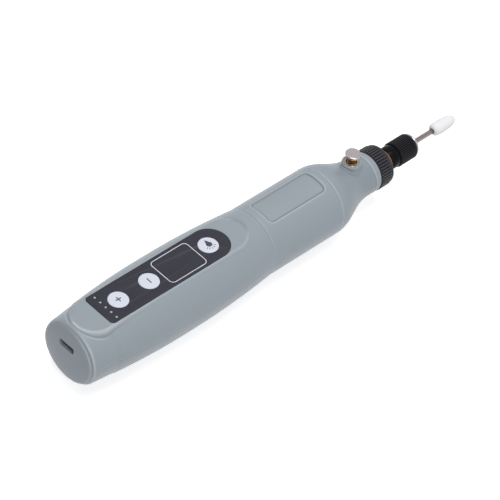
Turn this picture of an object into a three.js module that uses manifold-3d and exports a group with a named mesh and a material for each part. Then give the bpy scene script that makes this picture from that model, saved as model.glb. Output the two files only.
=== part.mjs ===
// Cordless pen-shaped mini grinder. Lengths are millimetres and Z points up.
// Pieces are shaped with x running forward from the rear end, and y = z = 0 on the tool's axis.
import * as THREE from "three";
import Module from "manifold-3d";
import { mergeVertices } from "three/addons/utils/BufferGeometryUtils.js";

const wasm = await Module();
wasm.setup();

// Bought parts: cell, motor, ball bearings, spindle and the bit's shank
const cellRadius = 9.1;
const cellLength = 65;
const motorRadius = 12.2;
const motorLength = 30.8;
const motorShaftRadius = 1;
const bearingRadius = 6.5;
const bearingWidth = 5;
const spindleRadius = 2;
const bitRadius = 1.175;

// Driving dimensions: lengths along the axis, from the rear end to the tip
const rearBayLength = 22.1;
const tabThickness = 0.3;
const columnRadius = 2.3;
const spigotLength = 4.6;
const lipLength = 2;
const noseSpigotLength = 5.1;
const canBossLength = 1.5;
const couplingClear = 2;
const couplingLength = 10.5;
const lockRoomRear = 3.2;
const lockRoomFront = 4.8;
const circlipRoom = 1.3;
const ringLength = 7.4;
const collarSetback = 1.7;
const collarLength = 1;
const chuckTailLength = 4.9;
const sleeveLength = 11.2;
const shankBareLength = 14.2;
const stoneLength = 11.7;

// Driving dimensions: heights from the axis, and radii
const deckHeight = 14.3;
const deckHalfWidth = 9.65;
const partingHeight = 0.9;
const tailRadius = 14.1;
const stoneRadius = 2.8;

// Walls and fits shared by all pieces
const wall = 2.2;
const gap = 0.3;
const slip = 0.1;
const overrun = 2;

// Walls and steps that lead from the bought parts out to the skin
const cellFloor = 2;
const motorClear = 0.3;
const gripWall = 2.5;
const spigotWall = 1;
const neckStep = 1.15;
const ringWall = 1.3;
const mouthClear = 1.325;
const coneDrop = 2.2;
const sleeveWall = 0.8;

// How finely round shapes are faceted
const bodySides = 32;
const midSides = 20;
const smallSides = 10;
const arcSteps = 6;
const cornerSteps = 3;

// Stations along the axis
const cellRear = rearBayLength;
const cellFront = cellRear + cellLength;
const frontWallRear = cellFront + tabThickness + 2 * slip;
const screwFrontAt = frontWallRear + columnRadius;
const bayFront = screwFrontAt + columnRadius + slip;
const seamRear = bayFront + spigotLength + slip;
const gripRear = seamRear + slip;
const motorRear = gripRear + lipLength;
const motorFront = motorRear + motorLength;
const noseSpigotRear = motorFront + slip;
const seamFront = noseSpigotRear + noseSpigotLength;
const couplingRear = motorFront + canBossLength + couplingClear;
const couplingFront = couplingRear + couplingLength;
const rearBearingStart = couplingFront + 2 * gap;
const rearBearingEnd = rearBearingStart + bearingWidth;
const lockAt = rearBearingEnd + lockRoomRear;
const frontBearingStart = lockAt + lockRoomFront;
const frontBearingEnd = frontBearingStart + bearingWidth;
const neckEnd = frontBearingEnd + circlipRoom;
const ringEnd = neckEnd + ringLength;
const collarRear = ringEnd + collarSetback;
const chuckRear = collarRear + collarLength + slip;
const sleeveRear = chuckRear + chuckTailLength;
const sleeveEnd = sleeveRear + sleeveLength;
const stoneRear = sleeveEnd + shankBareLength;
const tipEnd = stoneRear + stoneLength;

// Heights of the keys, switches, boards and cell, counted down from the deck
const deckWall = 1.6;
const filmRecess = 0.45;
const filmThickness = 0.5;
const keyFlangeHeight = 0.55;
const nibHeight = 0.6;
const switchHeight = 2.1;
const boardThickness = 1.2;
const cellClear = 2.6;

const filmBottom = deckHeight - filmRecess;
const filmTop = filmBottom + filmThickness;
const deckUnder = filmBottom - deckWall;
const keyTopOfFlange = deckUnder - slip;
const keyFoot = keyTopOfFlange - keyFlangeHeight;
const switchTop = keyFoot - nibHeight;
const boardTop = switchTop - switchHeight;
const boardBottom = boardTop - boardThickness;
const cellTop = boardBottom - cellClear;
const cellSink = cellRadius - cellTop;

// Radii of the skin, counted out from what lies inside
const bellyRadius = cellSink + cellRadius + cellFloor + wall;
const gripBore = motorRadius + motorClear;
const gripRadius = gripBore + gripWall;
const neckSpigotRadius = bearingRadius + slip + spigotWall;
const neckRadius = neckSpigotRadius + neckStep;
const ringBore = neckSpigotRadius + slip;
const ringRadius = ringBore + ringWall;
const sleeveMouth = bitRadius + mouthClear;
const sleeveBore = sleeveMouth + coneDrop;
const chuckRadius = sleeveBore + sleeveWall;

// The origin is on the ground under the middle of the tool, which lies on the flat under its belly
const group = new THREE.Group();
group.position.set(-tipEnd / 2, 0, bellyRadius * Math.cos(Math.PI / bodySides));

function finish(color, roughness, metalness = 0) {
  return new THREE.MeshStandardMaterial({ color, roughness, metalness });
}
const bodyPlastic = finish(0x8c979d, 0.55);
const blackPlastic = finish(0x2c2c32, 0.45);
const panelFilm = finish(0x3f3f49, 0.4);
const keyWhite = finish(0xe4e8f2, 0.5);
const lightGrey = finish(0xb9bcc4, 0.5);
const chrome = finish(0xd8d8dc, 0.12, 1);
const steel = finish(0x9fa3a8, 0.3, 1);
const brass = finish(0xb8863b, 0.3, 1);
const ironBlack = finish(0x3a3a3c, 0.6, 0.4);
const boardGreen = finish(0x1f5a38, 0.6);
const cellWrap = finish(0x2f6fb0, 0.4);
const foamGrey = finish(0x55565a, 0.95);
const redWire = finish(0xb0261f, 0.5);
const blackWire = finish(0x18181a, 0.5);
const clearPlastic = finish(0xe9edf0, 0.1);
const stoneWhite = finish(0xf0f0f2, 0.9);

// A closed solid from any geometry, with its faces turned outwards
function solid(geometry) {
  geometry.deleteAttribute("normal");
  geometry.deleteAttribute("uv");
  const merged = mergeVertices(geometry);
  const places = merged.attributes.position.array;
  const corners = Uint32Array.from(merged.index.array);
  const a = new THREE.Vector3();
  const b = new THREE.Vector3();
  const c = new THREE.Vector3();
  let volume = 0;
  for (let i = 0; i < corners.length; i += 3) {
    a.fromArray(places, corners[i] * 3);
    b.fromArray(places, corners[i + 1] * 3);
    c.fromArray(places, corners[i + 2] * 3);
    volume += a.dot(b.cross(c));
  }
  if (volume < 0) {
    for (let i = 0; i < corners.length; i += 3) {
      [corners[i], corners[i + 1]] = [corners[i + 1], corners[i]];
    }
  }
  return new wasm.Manifold(new wasm.Mesh({ numProp: 3, vertProperties: places, triVerts: corners }));
}

// A solid turned round the tool's axis, from [x, radius] points that start and end on the axis
function turned(points, sides = bodySides) {
  const profile = points.map(([x, r]) => new THREE.Vector2(r, x));
  const geometry = new THREE.LatheGeometry(profile, sides, Math.PI / sides);
  geometry.rotateZ(-Math.PI / 2);
  return solid(geometry);
}

// A ring turned round the tool's axis, from [x, radius] points that go once round its section
function turnedRing(points, sides = bodySides) {
  return turned([...points, points[0]], sides);
}

function tube(x0, x1, inner, outer, sides = bodySides) {
  return turnedRing([[x0, inner], [x0, outer], [x1, outer], [x1, inner]], sides);
}

function rod(x0, x1, radius, sides = bodySides) {
  return turned([[x0, 0], [x0, radius], [x1, radius], [x1, 0]], sides);
}

// A solid turned round an upright line at x, y, from [radius, z] points
function upright(points, sides, x, y = 0) {
  const profile = points.map(([r, z]) => new THREE.Vector2(r, z));
  const geometry = new THREE.LatheGeometry(profile, sides, Math.PI / sides);
  geometry.rotateX(Math.PI / 2);
  geometry.translate(x, y, 0);
  return solid(geometry);
}

function post(x, y, z0, z1, radius, sides = smallSides) {
  return upright([[0, z0], [radius, z0], [radius, z1], [0, z1]], sides, x, y);
}

function block(x0, x1, y0, y1, z0, z1) {
  const geometry = new THREE.BoxGeometry(x1 - x0, y1 - y0, z1 - z0);
  geometry.translate((x0 + x1) / 2, (y0 + y1) / 2, (z0 + z1) / 2);
  return solid(geometry);
}

function pairOfBlocks(x0, x1, y0, y1, z0, z1) {
  return block(x0, x1, y0, y1, z0, z1).add(block(x0, x1, -y1, -y0, z0, z1));
}

// A flat outline in x and y, raised from z0 to z1
function raised(shape, z0, z1, curveSegments = arcSteps) {
  const geometry = new THREE.ExtrudeGeometry(shape, { depth: z1 - z0, bevelEnabled: false, curveSegments });
  geometry.translate(0, 0, z0);
  return solid(geometry);
}

// A flat outline drawn across the axis, with y and z as its directions, drawn out from x0 to x1
function drawnAcross(shape, x0, x1, curveSegments) {
  const geometry = new THREE.ExtrudeGeometry(shape, { depth: x1 - x0, bevelEnabled: false, curveSegments });
  const across = new THREE.Vector3(0, 1, 0);
  const up = new THREE.Vector3(0, 0, 1);
  const along = new THREE.Vector3(1, 0, 0);
  geometry.applyMatrix4(new THREE.Matrix4().makeBasis(across, up, along));
  geometry.translate(x0, 0, 0);
  return solid(geometry);
}

// A rectangle with rounded corners, and rear corners of a radius of their own
function roundedRectangle(x0, x1, y0, y1, radius, rearRadius = radius) {
  const shape = new THREE.Shape();
  shape.moveTo(x0 + rearRadius, y0);
  shape.lineTo(x1 - radius, y0);
  shape.absarc(x1 - radius, y0 + radius, radius, -Math.PI / 2, 0);
  shape.absarc(x1 - radius, y1 - radius, radius, 0, Math.PI / 2);
  shape.lineTo(x0 + rearRadius, y1);
  shape.absarc(x0 + rearRadius, y1 - rearRadius, rearRadius, Math.PI / 2, Math.PI);
  shape.absarc(x0 + rearRadius, y0 + rearRadius, rearRadius, Math.PI, Math.PI * 1.5);
  return shape;
}

function wire(curve, radius, steps, sides) {
  const corners = Array.from({ length: sides }, (_, i) => {
    const angle = (2 * Math.PI * i) / sides;
    return new THREE.Vector2(radius * Math.cos(angle), radius * Math.sin(angle));
  });
  return solid(new THREE.ExtrudeGeometry(new THREE.Shape(corners), { steps, extrudePath: curve }));
}

function joined(solids) {
  return solids.reduce((whole, part) => whole.add(part));
}

function piece(name, body, material) {
  const mesh = body.getMesh();
  const geometry = new THREE.BufferGeometry();
  geometry.setAttribute("position", new THREE.BufferAttribute(mesh.vertProperties, 3));
  geometry.setIndex(new THREE.BufferAttribute(mesh.triVerts, 1));
  const item = new THREE.Mesh(geometry, material);
  item.name = name;
  group.add(item);
}

// Handle outline: a shallow domed rear end, a small step, and a barrel that swells to the belly
const domeDepth = 1.5;
const domeInset = 1.2;
const domeShares = [[0.03, 0.33], [0.25, 0.65], [1, 1]];
const rimAt = 2.75;
const stepAt = 13.3;
const stepRun = 1.9;
const tailRise = 0.95;
const stepHeight = 0.55;
const bellyAt = 52;
const bellyFlat = 6;
const swellShares = [0.22, 0.5];
const easeShares = [0.34, 0.65];
const swellPower = 2;

const domeRadius = tailRadius - domeInset;
const stepRadius = tailRadius + tailRise;
const shoulderRadius = stepRadius + stepHeight;
const shoulderAt = stepAt + stepRun;
const bellyStart = bellyAt - bellyFlat / 2;
const bellyEnd = bellyAt + bellyFlat / 2;

function barrelRadius(x) {
  if (x < stepAt) {
    return tailRadius + ((stepRadius - tailRadius) * (x - rimAt)) / (stepAt - rimAt);
  }
  if (x < bellyStart) {
    const share = (bellyStart - x) / (bellyStart - shoulderAt);
    return bellyRadius - (bellyRadius - shoulderRadius) * Math.min(share, 1) ** swellPower;
  }
  const share = Math.max(x - bellyEnd, 0) / (seamRear - bellyEnd);
  return bellyRadius - (bellyRadius - gripRadius) * share ** swellPower;
}

const barrelStations = [
  shoulderAt,
  ...swellShares.map((share) => shoulderAt + share * (bellyStart - shoulderAt)),
  bellyStart,
  bellyEnd,
  ...easeShares.map((share) => bellyEnd + share * (seamRear - bellyEnd)),
];

const barrel = turned([
  [0, 0],
  ...domeShares.map(([depth, radius]) => [domeDepth * depth, domeRadius * radius]),
  [rimAt, tailRadius],
  [stepAt, stepRadius],
  ...barrelStations.map((x) => [x, barrelRadius(x)]),
  [seamRear, gripRadius],
  [seamRear, 0],
]);

// Keypad deck: a level land, proud of the barrel at the rear and milled into it at the front
const deckRear = 3.2;
const deckFrontInset = 5.5;
const deckBevel = 0.8;
const deckRim = 1.4;
const filmRear = 15.3;
const filmFrontInset = 9.6;
const filmCorner = 1;

const deckFront = seamRear - deckFrontInset;
const filmFront = deckFront - filmFrontInset;
const filmHalfWidth = deckHalfWidth - deckRim;

const deckOutline = roundedRectangle(deckRear, deckFront, -deckHalfWidth, deckHalfWidth, deckHalfWidth);
const deckCut = raised(deckOutline, deckHeight, bellyRadius + overrun);
const deckLandGeometry = new THREE.ExtrudeGeometry(deckOutline, {
  depth: deckHeight - deckBevel,
  bevelThickness: deckBevel,
  bevelSize: deckBevel,
  bevelOffset: -deckBevel,
  bevelSegments: 2,
  curveSegments: arcSteps,
});
const deckLand = solid(deckLandGeometry).intersect(
  block(0, bellyAt, -bellyRadius, bellyRadius, deckHeight / 2, deckHeight + overrun),
);

function filmOutline(grow) {
  const half = filmHalfWidth + grow;
  return roundedRectangle(filmRear - grow, filmFront + grow, -half, half, half, filmCorner);
}

// Inside of the handle: a level ceiling under the deck, and a bore with a groove for the grip's flange
const rearWall = 2.6;
const flangeThickness = 1.4;
const flangeHeight = 0.8;

const boreRadius = gripRadius - wall + slip;
const grooveFront = bayFront + flangeThickness + 2 * slip;
const grooveRadius = boreRadius + flangeHeight;

const hollow = turned([
  [rearWall, 0],
  [rearWall, tailRadius - wall],
  [stepAt, stepRadius - wall],
  ...barrelStations.map((x) => [x, barrelRadius(x) - wall]).filter(([x]) => x < bayFront),
  [bayFront, barrelRadius(bayFront) - wall],
  [bayFront, grooveRadius],
  [grooveFront, grooveRadius],
  [grooveFront, boreRadius],
  [seamRear + overrun, boreRadius],
  [seamRear + overrun, 0],
]).subtract(block(0, bayFront, -bellyRadius, bellyRadius, deckUnder, bellyRadius));

// Screws from below hold the handle's halves: a pair behind the cell and a pair in front of it
const screwRadius = 1;
const screwHeadRadius = 1.9;
const screwHeadHeight = 1.3;
const screwReach = 5;
const screwInset = 0.15;
const columnClear = 0.7;
const endWallThickness = 1.2;

const screwSide = deckHalfWidth - screwInset;
const rearWallFront = cellRear - tabThickness - 2 * slip;
const endWallRear = rearWallFront - endWallThickness;
const screwRearAt = endWallRear - columnClear - columnRadius;
const screwPlaces = [
  [screwRearAt, -screwSide],
  [screwRearAt, screwSide],
  [screwFrontAt, -screwSide],
  [screwFrontAt, screwSide],
];
function screwSeat(x) {
  return -Math.sqrt((barrelRadius(x) - wall) ** 2 - screwSide ** 2);
}

// Cell bay: the cell lies on three ribs, between two end walls that press the contact tabs to it
const ribThickness = 2;
const ribShares = [0.1, 0.5, 0.9];

// Keys and lights along the film, with the control board under them
const keyRadius = 4.23;
const keyPlusInset = 10.35;
const keyPitch = 15.85;
const keyLightInset = 9.15;
const keyFlange = 0.7;
const keyEdge = 0.2;
const keyTravel = 0.3;
const nibRadius = 0.9;
const nibSink = 0.5;
const switchHalfWidth = 2.4;
const boardLead = 7;
const boardTail = 11;
const lightRowInset = 3.9;
const lightEndInset = 1.99;
const lightRadius = 0.42;
const lightCount = 5;
const lightBarHalf = 0.6;

const keyPlusAt = filmRear + keyPlusInset;
const keyMinusAt = keyPlusAt + keyPitch;
const keyLightAt = filmFront - keyLightInset;
const lightRowAt = filmRear + lightRowInset;
const lightPitch = (2 * (filmHalfWidth - lightEndInset)) / (lightCount - 1);
const boardRear = lightRowAt - boardLead;
const boardFront = keyLightAt + boardTail;
const boardHalfWidth = screwSide - columnRadius - gap;
const keyPlaces = { plus: keyPlusAt, minus: keyMinusAt, light: keyLightAt };
const lightPlaces = Array.from({ length: lightCount }, (_, i) => (i - (lightCount - 1) / 2) * lightPitch);

function keyHoles(radius, z0, z1) {
  return joined(Object.values(keyPlaces).map((x) => post(x, 0, z0, z1, radius, midSides)));
}
function lightHoles(radius, z0, z1) {
  return joined(lightPlaces.map((y) => post(lightRowAt, y, z0, z1, radius, smallSides)));
}

// Two staked pins under the deck carry the control board, half way between the keys
const stakeRadius = 2;
const stakePinRadius = 0.8;
const stakeReach = 0.5;
const stakePlaces = [(keyPlusAt + keyMinusAt) / 2, (keyMinusAt + keyLightAt) / 2];
const stakes = joined(
  stakePlaces.flatMap((x) => [
    post(x, 0, boardTop + slip, filmBottom - deckWall / 2, stakeRadius),
    post(x, 0, boardBottom - stakeReach, filmBottom - deckWall / 2, stakePinRadius),
  ]),
);

// Charging board and socket, with the slot in the rear face
const chargeBoardTop = 3.6;
const chargeBoardClear = 1.2;
const chargeBoardHalfWidth = 6;
const railWidth = 1;
const portHalfWidth = 3.75;
const portHeight = 2.7;
const portRear = 1.2;
const portLength = 5.6;
const portSkin = 0.3;
const portDepth = 4.6;
const tongueHalfWidth = 2.4;
const tongueThickness = 0.6;
const slotCorner = 1.2;

const chargeBoardBottom = chargeBoardTop - boardThickness;
const chargeBoardRear = rearWall + gap;
const chargeBoardFront = endWallRear - chargeBoardClear;
const portBottom = chargeBoardTop + slip;
const portTop = portBottom + portHeight;
const portFront = portRear + portLength;

// Room inside the shells for the keys' flanges, the lights, the control board and the cell
const lightBarReach = lightPlaces[lightCount - 1] + lightBarHalf;
const room = joined([
  keyHoles(keyRadius + keyFlange + slip, boardTop, deckUnder),
  block(
    lightRowAt - lightBarHalf - slip,
    lightRowAt + lightBarHalf + slip,
    -lightBarReach - slip,
    lightBarReach + slip,
    boardTop,
    switchTop + slip,
  ),
  block(
    boardRear - slip,
    boardFront + slip,
    -boardHalfWidth - slip,
    boardHalfWidth + slip,
    boardBottom - slip,
    boardTop + slip,
  ),
  rod(rearWallFront, frontWallRear, cellRadius + slip, midSides).translate(0, 0, -cellSink),
]);

// The two handle shells, split level along the side
const columns = joined(
  screwPlaces.map(([x, y]) => post(x, y, -bellyRadius, filmBottom - deckWall / 2, columnRadius)),
);
const ribs = joined(
  ribShares.map((share) => {
    const x = cellRear + share * (cellLength - ribThickness);
    return block(x, x + ribThickness, -bellyRadius, bellyRadius, -bellyRadius, -cellSink);
  }),
).subtract(rod(cellRear, cellFront, cellRadius + slip, midSides).translate(0, 0, -cellSink));
const endWalls = joined(
  [endWallRear, frontWallRear].map((x) =>
    block(x, x + endWallThickness, -bellyRadius, bellyRadius, -bellyRadius, -cellSink),
  ),
);
const rails = pairOfBlocks(
  rearWall,
  chargeBoardFront,
  chargeBoardHalfWidth - railWidth,
  chargeBoardHalfWidth,
  -bellyRadius,
  chargeBoardBottom - slip,
);
const slot = drawnAcross(
  roundedRectangle(-portHalfWidth - gap, portHalfWidth + gap, portBottom - slip, portTop + slip, slotCorner),
  -overrun,
  rearWall + overrun,
  cornerSteps,
);
const screwHoles = joined(
  screwPlaces.map(([x, y]) => post(x, y, -bellyRadius, screwReach + gap, screwRadius + slip)),
);
const headHoles = joined(
  screwPlaces.map(([x, y]) => post(x, y, -bellyRadius, screwSeat(x), screwHeadRadius + slip)),
);
const upperHalf = block(-overrun, seamRear, -bellyRadius, bellyRadius, partingHeight, bellyRadius);
const lowerHalf = block(-overrun, seamRear, -bellyRadius, bellyRadius, -bellyRadius, partingHeight);
const casing = barrel.subtract(deckCut).add(deckLand).subtract(hollow).subtract(room);

const topShell = casing
  .add(columns.intersect(barrel))
  .intersect(upperHalf)
  .add(stakes)
  .subtract(raised(filmOutline(slip), filmBottom, deckHeight + overrun))
  .subtract(keyHoles(keyRadius + slip, deckUnder - slip, deckHeight))
  .subtract(lightHoles(lightRadius + slip, switchTop, deckHeight))
  .subtract(slot)
  .subtract(screwHoles);
piece("handle_top_shell", topShell, bodyPlastic);

const bottomShell = casing
  .add(joined([columns, ribs, endWalls]).intersect(barrel))
  .intersect(lowerHalf)
  .add(rails.intersect(barrel))
  .subtract(screwHoles)
  .subtract(headHoles);
piece("handle_bottom_shell", bottomShell, bodyPlastic);

screwPlaces.forEach(([x, y], i) => {
  const seat = screwSeat(x) - slip;
  const screw = post(x, y, seat - screwHeadHeight, seat, screwHeadRadius)
    .add(post(x, y, seat - slip, screwReach, screwRadius));
  piece(`case_screw_${i + 1}`, screw, steel);
});

// Keypad: the dark film, three keys with flanges under the deck, and five small windows on a bar
const film = raised(filmOutline(0), filmBottom, filmTop)
  .subtract(keyHoles(keyRadius + slip, deckUnder, filmTop + overrun))
  .subtract(lightHoles(lightRadius + slip, deckUnder, filmTop + overrun));
piece("keypad_overlay", film, panelFilm);

Object.entries(keyPlaces).forEach(([name, x]) => {
  const key = upright(
    [
      [0, switchTop - nibSink],
      [nibRadius, switchTop - nibSink],
      [nibRadius, keyFoot],
      [keyRadius + keyFlange, keyFoot],
      [keyRadius + keyFlange, keyTopOfFlange],
      [keyRadius, keyTopOfFlange],
      [keyRadius, filmTop - keyEdge],
      [keyRadius - keyEdge, filmTop],
      [0, filmTop],
    ],
    midSides,
    x,
  );
  piece(`key_${name}`, key, keyWhite);
  const wellFloor = switchTop - nibSink - keyTravel - slip;
  const well = post(x, 0, wellFloor, switchTop + overrun, nibRadius + slip, midSides);
  const body = block(
    x - switchHalfWidth,
    x + switchHalfWidth,
    -switchHalfWidth,
    switchHalfWidth,
    boardTop + slip,
    switchTop,
  );
  piece(`switch_${name}`, body.subtract(well), blackPlastic);
});

const lightBar = block(
  lightRowAt - lightBarHalf,
  lightRowAt + lightBarHalf,
  -lightBarReach,
  lightBarReach,
  boardTop + slip,
  switchTop,
);
piece("battery_lights", lightBar.add(lightHoles(lightRadius, boardTop + slip, filmTop)), keyWhite);

// Control board on its pins, and the charging board on its rails, joined by a pin header
const stakeHoles = joined(
  stakePlaces.map((x) => post(x, 0, boardBottom - overrun, boardTop + overrun, stakePinRadius + slip)),
);
const controlBoard = block(boardRear, boardFront, -boardHalfWidth, boardHalfWidth, boardBottom, boardTop);
piece("control_board", controlBoard.subtract(stakeHoles), boardGreen);

const chargeBoard = block(
  chargeBoardRear,
  chargeBoardFront,
  -chargeBoardHalfWidth,
  chargeBoardHalfWidth,
  chargeBoardBottom,
  chargeBoardTop,
);
piece("charge_board", chargeBoard, boardGreen);

const headerHalfLength = 1.3;
const headerHalfWidth = 2.6;
const headerAt = (boardRear + chargeBoardFront) / 2;
const header = block(
  headerAt - headerHalfLength,
  headerAt + headerHalfLength,
  -headerHalfWidth,
  headerHalfWidth,
  chargeBoardTop + slip,
  boardBottom - slip,
);
piece("board_header", header, blackPlastic);

const portMiddle = (portBottom + portTop) / 2;
const portShell = drawnAcross(
  roundedRectangle(-portHalfWidth, portHalfWidth, portBottom, portTop, slotCorner - slip),
  portRear,
  portFront,
  cornerSteps,
);
const portMouth = drawnAcross(
  roundedRectangle(
    portSkin - portHalfWidth,
    portHalfWidth - portSkin,
    portBottom + portSkin,
    portTop - portSkin,
    slotCorner - slip - portSkin,
  ),
  portRear - overrun,
  portRear + portDepth,
  cornerSteps,
);
const tongue = block(
  portRear + portSkin,
  portFront,
  -tongueHalfWidth,
  tongueHalfWidth,
  portMiddle - tongueThickness / 2,
  portMiddle + tongueThickness / 2,
);
piece("charge_port", portShell.subtract(portMouth).add(tongue), steel);

// Cell with its cap, the contact tabs at both ends, and the foam pad over it
const capRadius = 3;
const capHeight = tabThickness;
const tabHalfWidth = 3;
const tabDepth = 3;
const tabRise = 6;
const padClear = 2.5;
const padHalfWidth = 4.5;
const padSink = 1.5;

const cell = rod(cellRear, cellFront - capHeight, cellRadius, midSides)
  .add(rod(cellFront - capHeight - slip, cellFront, capRadius, midSides))
  .translate(0, 0, -cellSink);
piece("battery_cell", cell, cellWrap);

function contactTab(x) {
  return block(x, x + tabThickness, -tabHalfWidth, tabHalfWidth, -cellSink - tabDepth, -cellSink + tabRise);
}
piece("battery_tab_rear", contactTab(cellRear - slip - tabThickness), steel);
piece("battery_tab_front", contactTab(cellFront + slip), steel);

const pad = block(
  stakePlaces[0] + stakeRadius,
  stakePlaces[1] - padClear,
  -padHalfWidth,
  padHalfWidth,
  cellTop - padSink,
  boardBottom - slip,
).subtract(rod(cellRear, cellFront, cellRadius + slip, midSides).translate(0, 0, -cellSink));
piece("battery_pad", pad, foamGrey);

// Grip: a round tube with a shallow recess on top, held in the handle by its flange
const lipDepth = 1.2;
const recessRearInset = 3.8;
const recessFrontInset = 3.3;
const recessHalfWidth = 6.2;
const recessCorner = 2;
const recessDepth = 0.45;

const lipBore = gripBore - lipDepth;
const spigotRear = bayFront + slip;
const flangeFront = spigotRear + flangeThickness;
const recessRear = gripRear + recessRearInset;
const recessFront = seamFront - recessFrontInset;
const gripTube = turnedRing([
  [spigotRear, lipBore],
  [spigotRear, grooveRadius - slip],
  [flangeFront, grooveRadius - slip],
  [flangeFront, boreRadius - slip],
  [gripRear, boreRadius - slip],
  [gripRear, gripRadius],
  [seamFront, gripRadius],
  [seamFront, gripBore],
  [motorRear - slip, gripBore],
  [motorRear - slip, lipBore],
]);
const recessFloor = gripRadius - recessDepth;
const recess = raised(
  roundedRectangle(recessRear, recessFront, -recessHalfWidth, recessHalfWidth, recessCorner),
  0,
  gripRadius + overrun,
  cornerSteps,
).subtract(rod(recessRear - overrun, recessFront + overrun, recessFloor));
piece("grip_housing", gripTube.subtract(recess), bodyPlastic);

// Nose: an S-shaped cone down to the neck, with seats for two ball bearings and a boss for the lock button
const noseRunShare = 0.8;
const noseHandleShares = [0.36, 0.54];
const noseSteps = 8;
const cavityTaper = 2.6;
const circlipThickness = 0.7;
const circlipGrip = 0.6;
const circlipDepth = 1;
const circlipMouth = 3;
const seatLead = 2;
const seatLip = 0.5;
const neckSpigotSetback = 1.7;
const bossRadius = 4.07;
const bossRise = 3.45;
const bossEdge = 0.5;
const bushOuter = 2.95;
const bushInner = 2.35;
const bushHeight = 4;
const bushProud = 0.1;
const stemRadius = 1.2;

const seatRadius = bearingRadius + slip;
const midBore = bearingRadius - seatLip;
const bossTop = neckRadius + bossRise;
const circlipStart = frontBearingEnd + slip;
const neckSpigotEnd = ringEnd - neckSpigotSetback;
const noseRear = seamFront + slip;
const cavityEnd = rearBearingStart - seatLead;
const cavityRadius = gripBore - slip - wall;
const bushFloor = bossTop + bushProud - bushHeight - slip;

const noseRun = (neckEnd - seamFront) * noseRunShare;
const noseCurve = new THREE.CubicBezierCurve(
  new THREE.Vector2(noseRear, gripRadius),
  new THREE.Vector2(noseRear + noseRun * noseHandleShares[0], gripRadius),
  new THREE.Vector2(noseRear + noseRun * noseHandleShares[1], neckRadius),
  new THREE.Vector2(noseRear + noseRun, neckRadius),
);
const noseTube = turnedRing([
  [noseSpigotRear, cavityRadius],
  [noseSpigotRear, gripBore - slip],
  [noseRear, gripBore - slip],
  ...noseCurve.getPoints(noseSteps).map((point) => [point.x, point.y]),
  [neckEnd, neckRadius],
  [neckEnd, neckSpigotRadius],
  [neckSpigotEnd, neckSpigotRadius],
  [neckSpigotEnd, seatRadius],
  [circlipStart + circlipThickness + slip, seatRadius],
  [circlipStart + circlipThickness + slip, seatRadius + circlipGrip],
  [circlipStart - slip, seatRadius + circlipGrip],
  [circlipStart - slip, seatRadius],
  [frontBearingStart - slip, seatRadius],
  [frontBearingStart - slip, midBore],
  [rearBearingEnd + slip, midBore],
  [rearBearingEnd + slip, seatRadius],
  [cavityEnd, seatRadius],
  [cavityEnd - cavityTaper, cavityRadius],
]);
const boss = upright(
  [
    [0, seatRadius + slip],
    [bossRadius, seatRadius + slip],
    [bossRadius, bossTop - bossEdge],
    [bossRadius - bossEdge, bossTop],
    [0, bossTop],
  ],
  midSides,
  lockAt,
);
const nose = noseTube
  .add(boss)
  .subtract(post(lockAt, 0, 0, bossTop + overrun, stemRadius + slip, midSides))
  .subtract(post(lockAt, 0, bushFloor, bossTop + overrun, bushOuter + slip, midSides));
piece("nose_housing", nose, bodyPlastic);

// Lock button: a mushroom cap on a sprung stem, whose pin drops into the spindle
const pinRadius = 1;
const pinClear = 0.6;
const clipGroove = 0.2;
const clipThickness = 0.5;
const clipRadius = 2.4;
const clipMouth = 1.4;
const shoulderOuter = 1.9;
const shoulderThickness = 0.3;
const capProud = 4.7;
const capRimHeight = 0.9;
const capConeHeight = 2.6;
const capOuter = 3.2;
const capEdge = 0.3;
const springWireRadius = 0.2;
const springRadius = 1.75;
const springCurls = 4.5;
const springStepsPerCurl = 8;
const springSides = 5;

const clipTop = Math.sqrt(midBore ** 2 - clipRadius ** 2) - slip;
const clipBottom = clipTop - clipThickness;
const pinTip = spindleRadius + pinClear;
const stemFoot = midBore - slip;
const capTop = bossTop + capProud;
const capRimFoot = capTop - capRimHeight;
const capConeFoot = capRimFoot - capConeHeight;
const shoulderFoot = capConeFoot - shoulderThickness;
const lockButton = upright(
  [
    [0, pinTip],
    [pinRadius, pinTip],
    [pinRadius, clipBottom - slip],
    [pinRadius - clipGroove, clipBottom - slip],
    [pinRadius - clipGroove, clipTop + slip],
    [pinRadius, clipTop + slip],
    [pinRadius, stemFoot],
    [stemRadius, stemFoot],
    [stemRadius, shoulderFoot],
    [shoulderOuter, shoulderFoot],
    [shoulderOuter, capConeFoot],
    [capOuter, capRimFoot],
    [capOuter, capTop - capEdge],
    [capOuter - capEdge, capTop],
    [0, capTop],
  ],
  midSides,
  lockAt,
);
piece("lock_button", lockButton, chrome);

const bush = upright(
  [
    [bushInner, bushFloor + slip],
    [bushOuter, bushFloor + slip],
    [bushOuter, bossTop + bushProud],
    [bushInner, bossTop + bushProud],
    [bushInner, bushFloor + slip],
  ],
  midSides,
  lockAt,
);
piece("lock_bush", bush, brass);

const clipRing = upright(
  [
    [pinRadius - slip, clipBottom],
    [clipRadius, clipBottom],
    [clipRadius, clipTop],
    [pinRadius - slip, clipTop],
    [pinRadius - slip, clipBottom],
  ],
  midSides,
  lockAt,
);
const clipGap = block(lockAt, lockAt + clipRadius + overrun, -clipMouth / 2, clipMouth / 2, 0, bossTop);
piece("lock_clip", clipRing.subtract(clipGap), steel);

class Helix extends THREE.Curve {
  getPoint(t, target = new THREE.Vector3()) {
    const z0 = bushFloor + slip + springWireRadius;
    const z1 = shoulderFoot - slip - springWireRadius;
    const angle = 2 * Math.PI * springCurls * t;
    return target.set(
      lockAt + springRadius * Math.cos(angle),
      springRadius * Math.sin(angle),
      z0 + (z1 - z0) * t,
    );
  }
}
const springPath = new Helix();
const springSteps = Math.round(springCurls * springStepsPerCurl);
piece("lock_spring", wire(springPath, springWireRadius, springSteps, springSides), steel);

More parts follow.
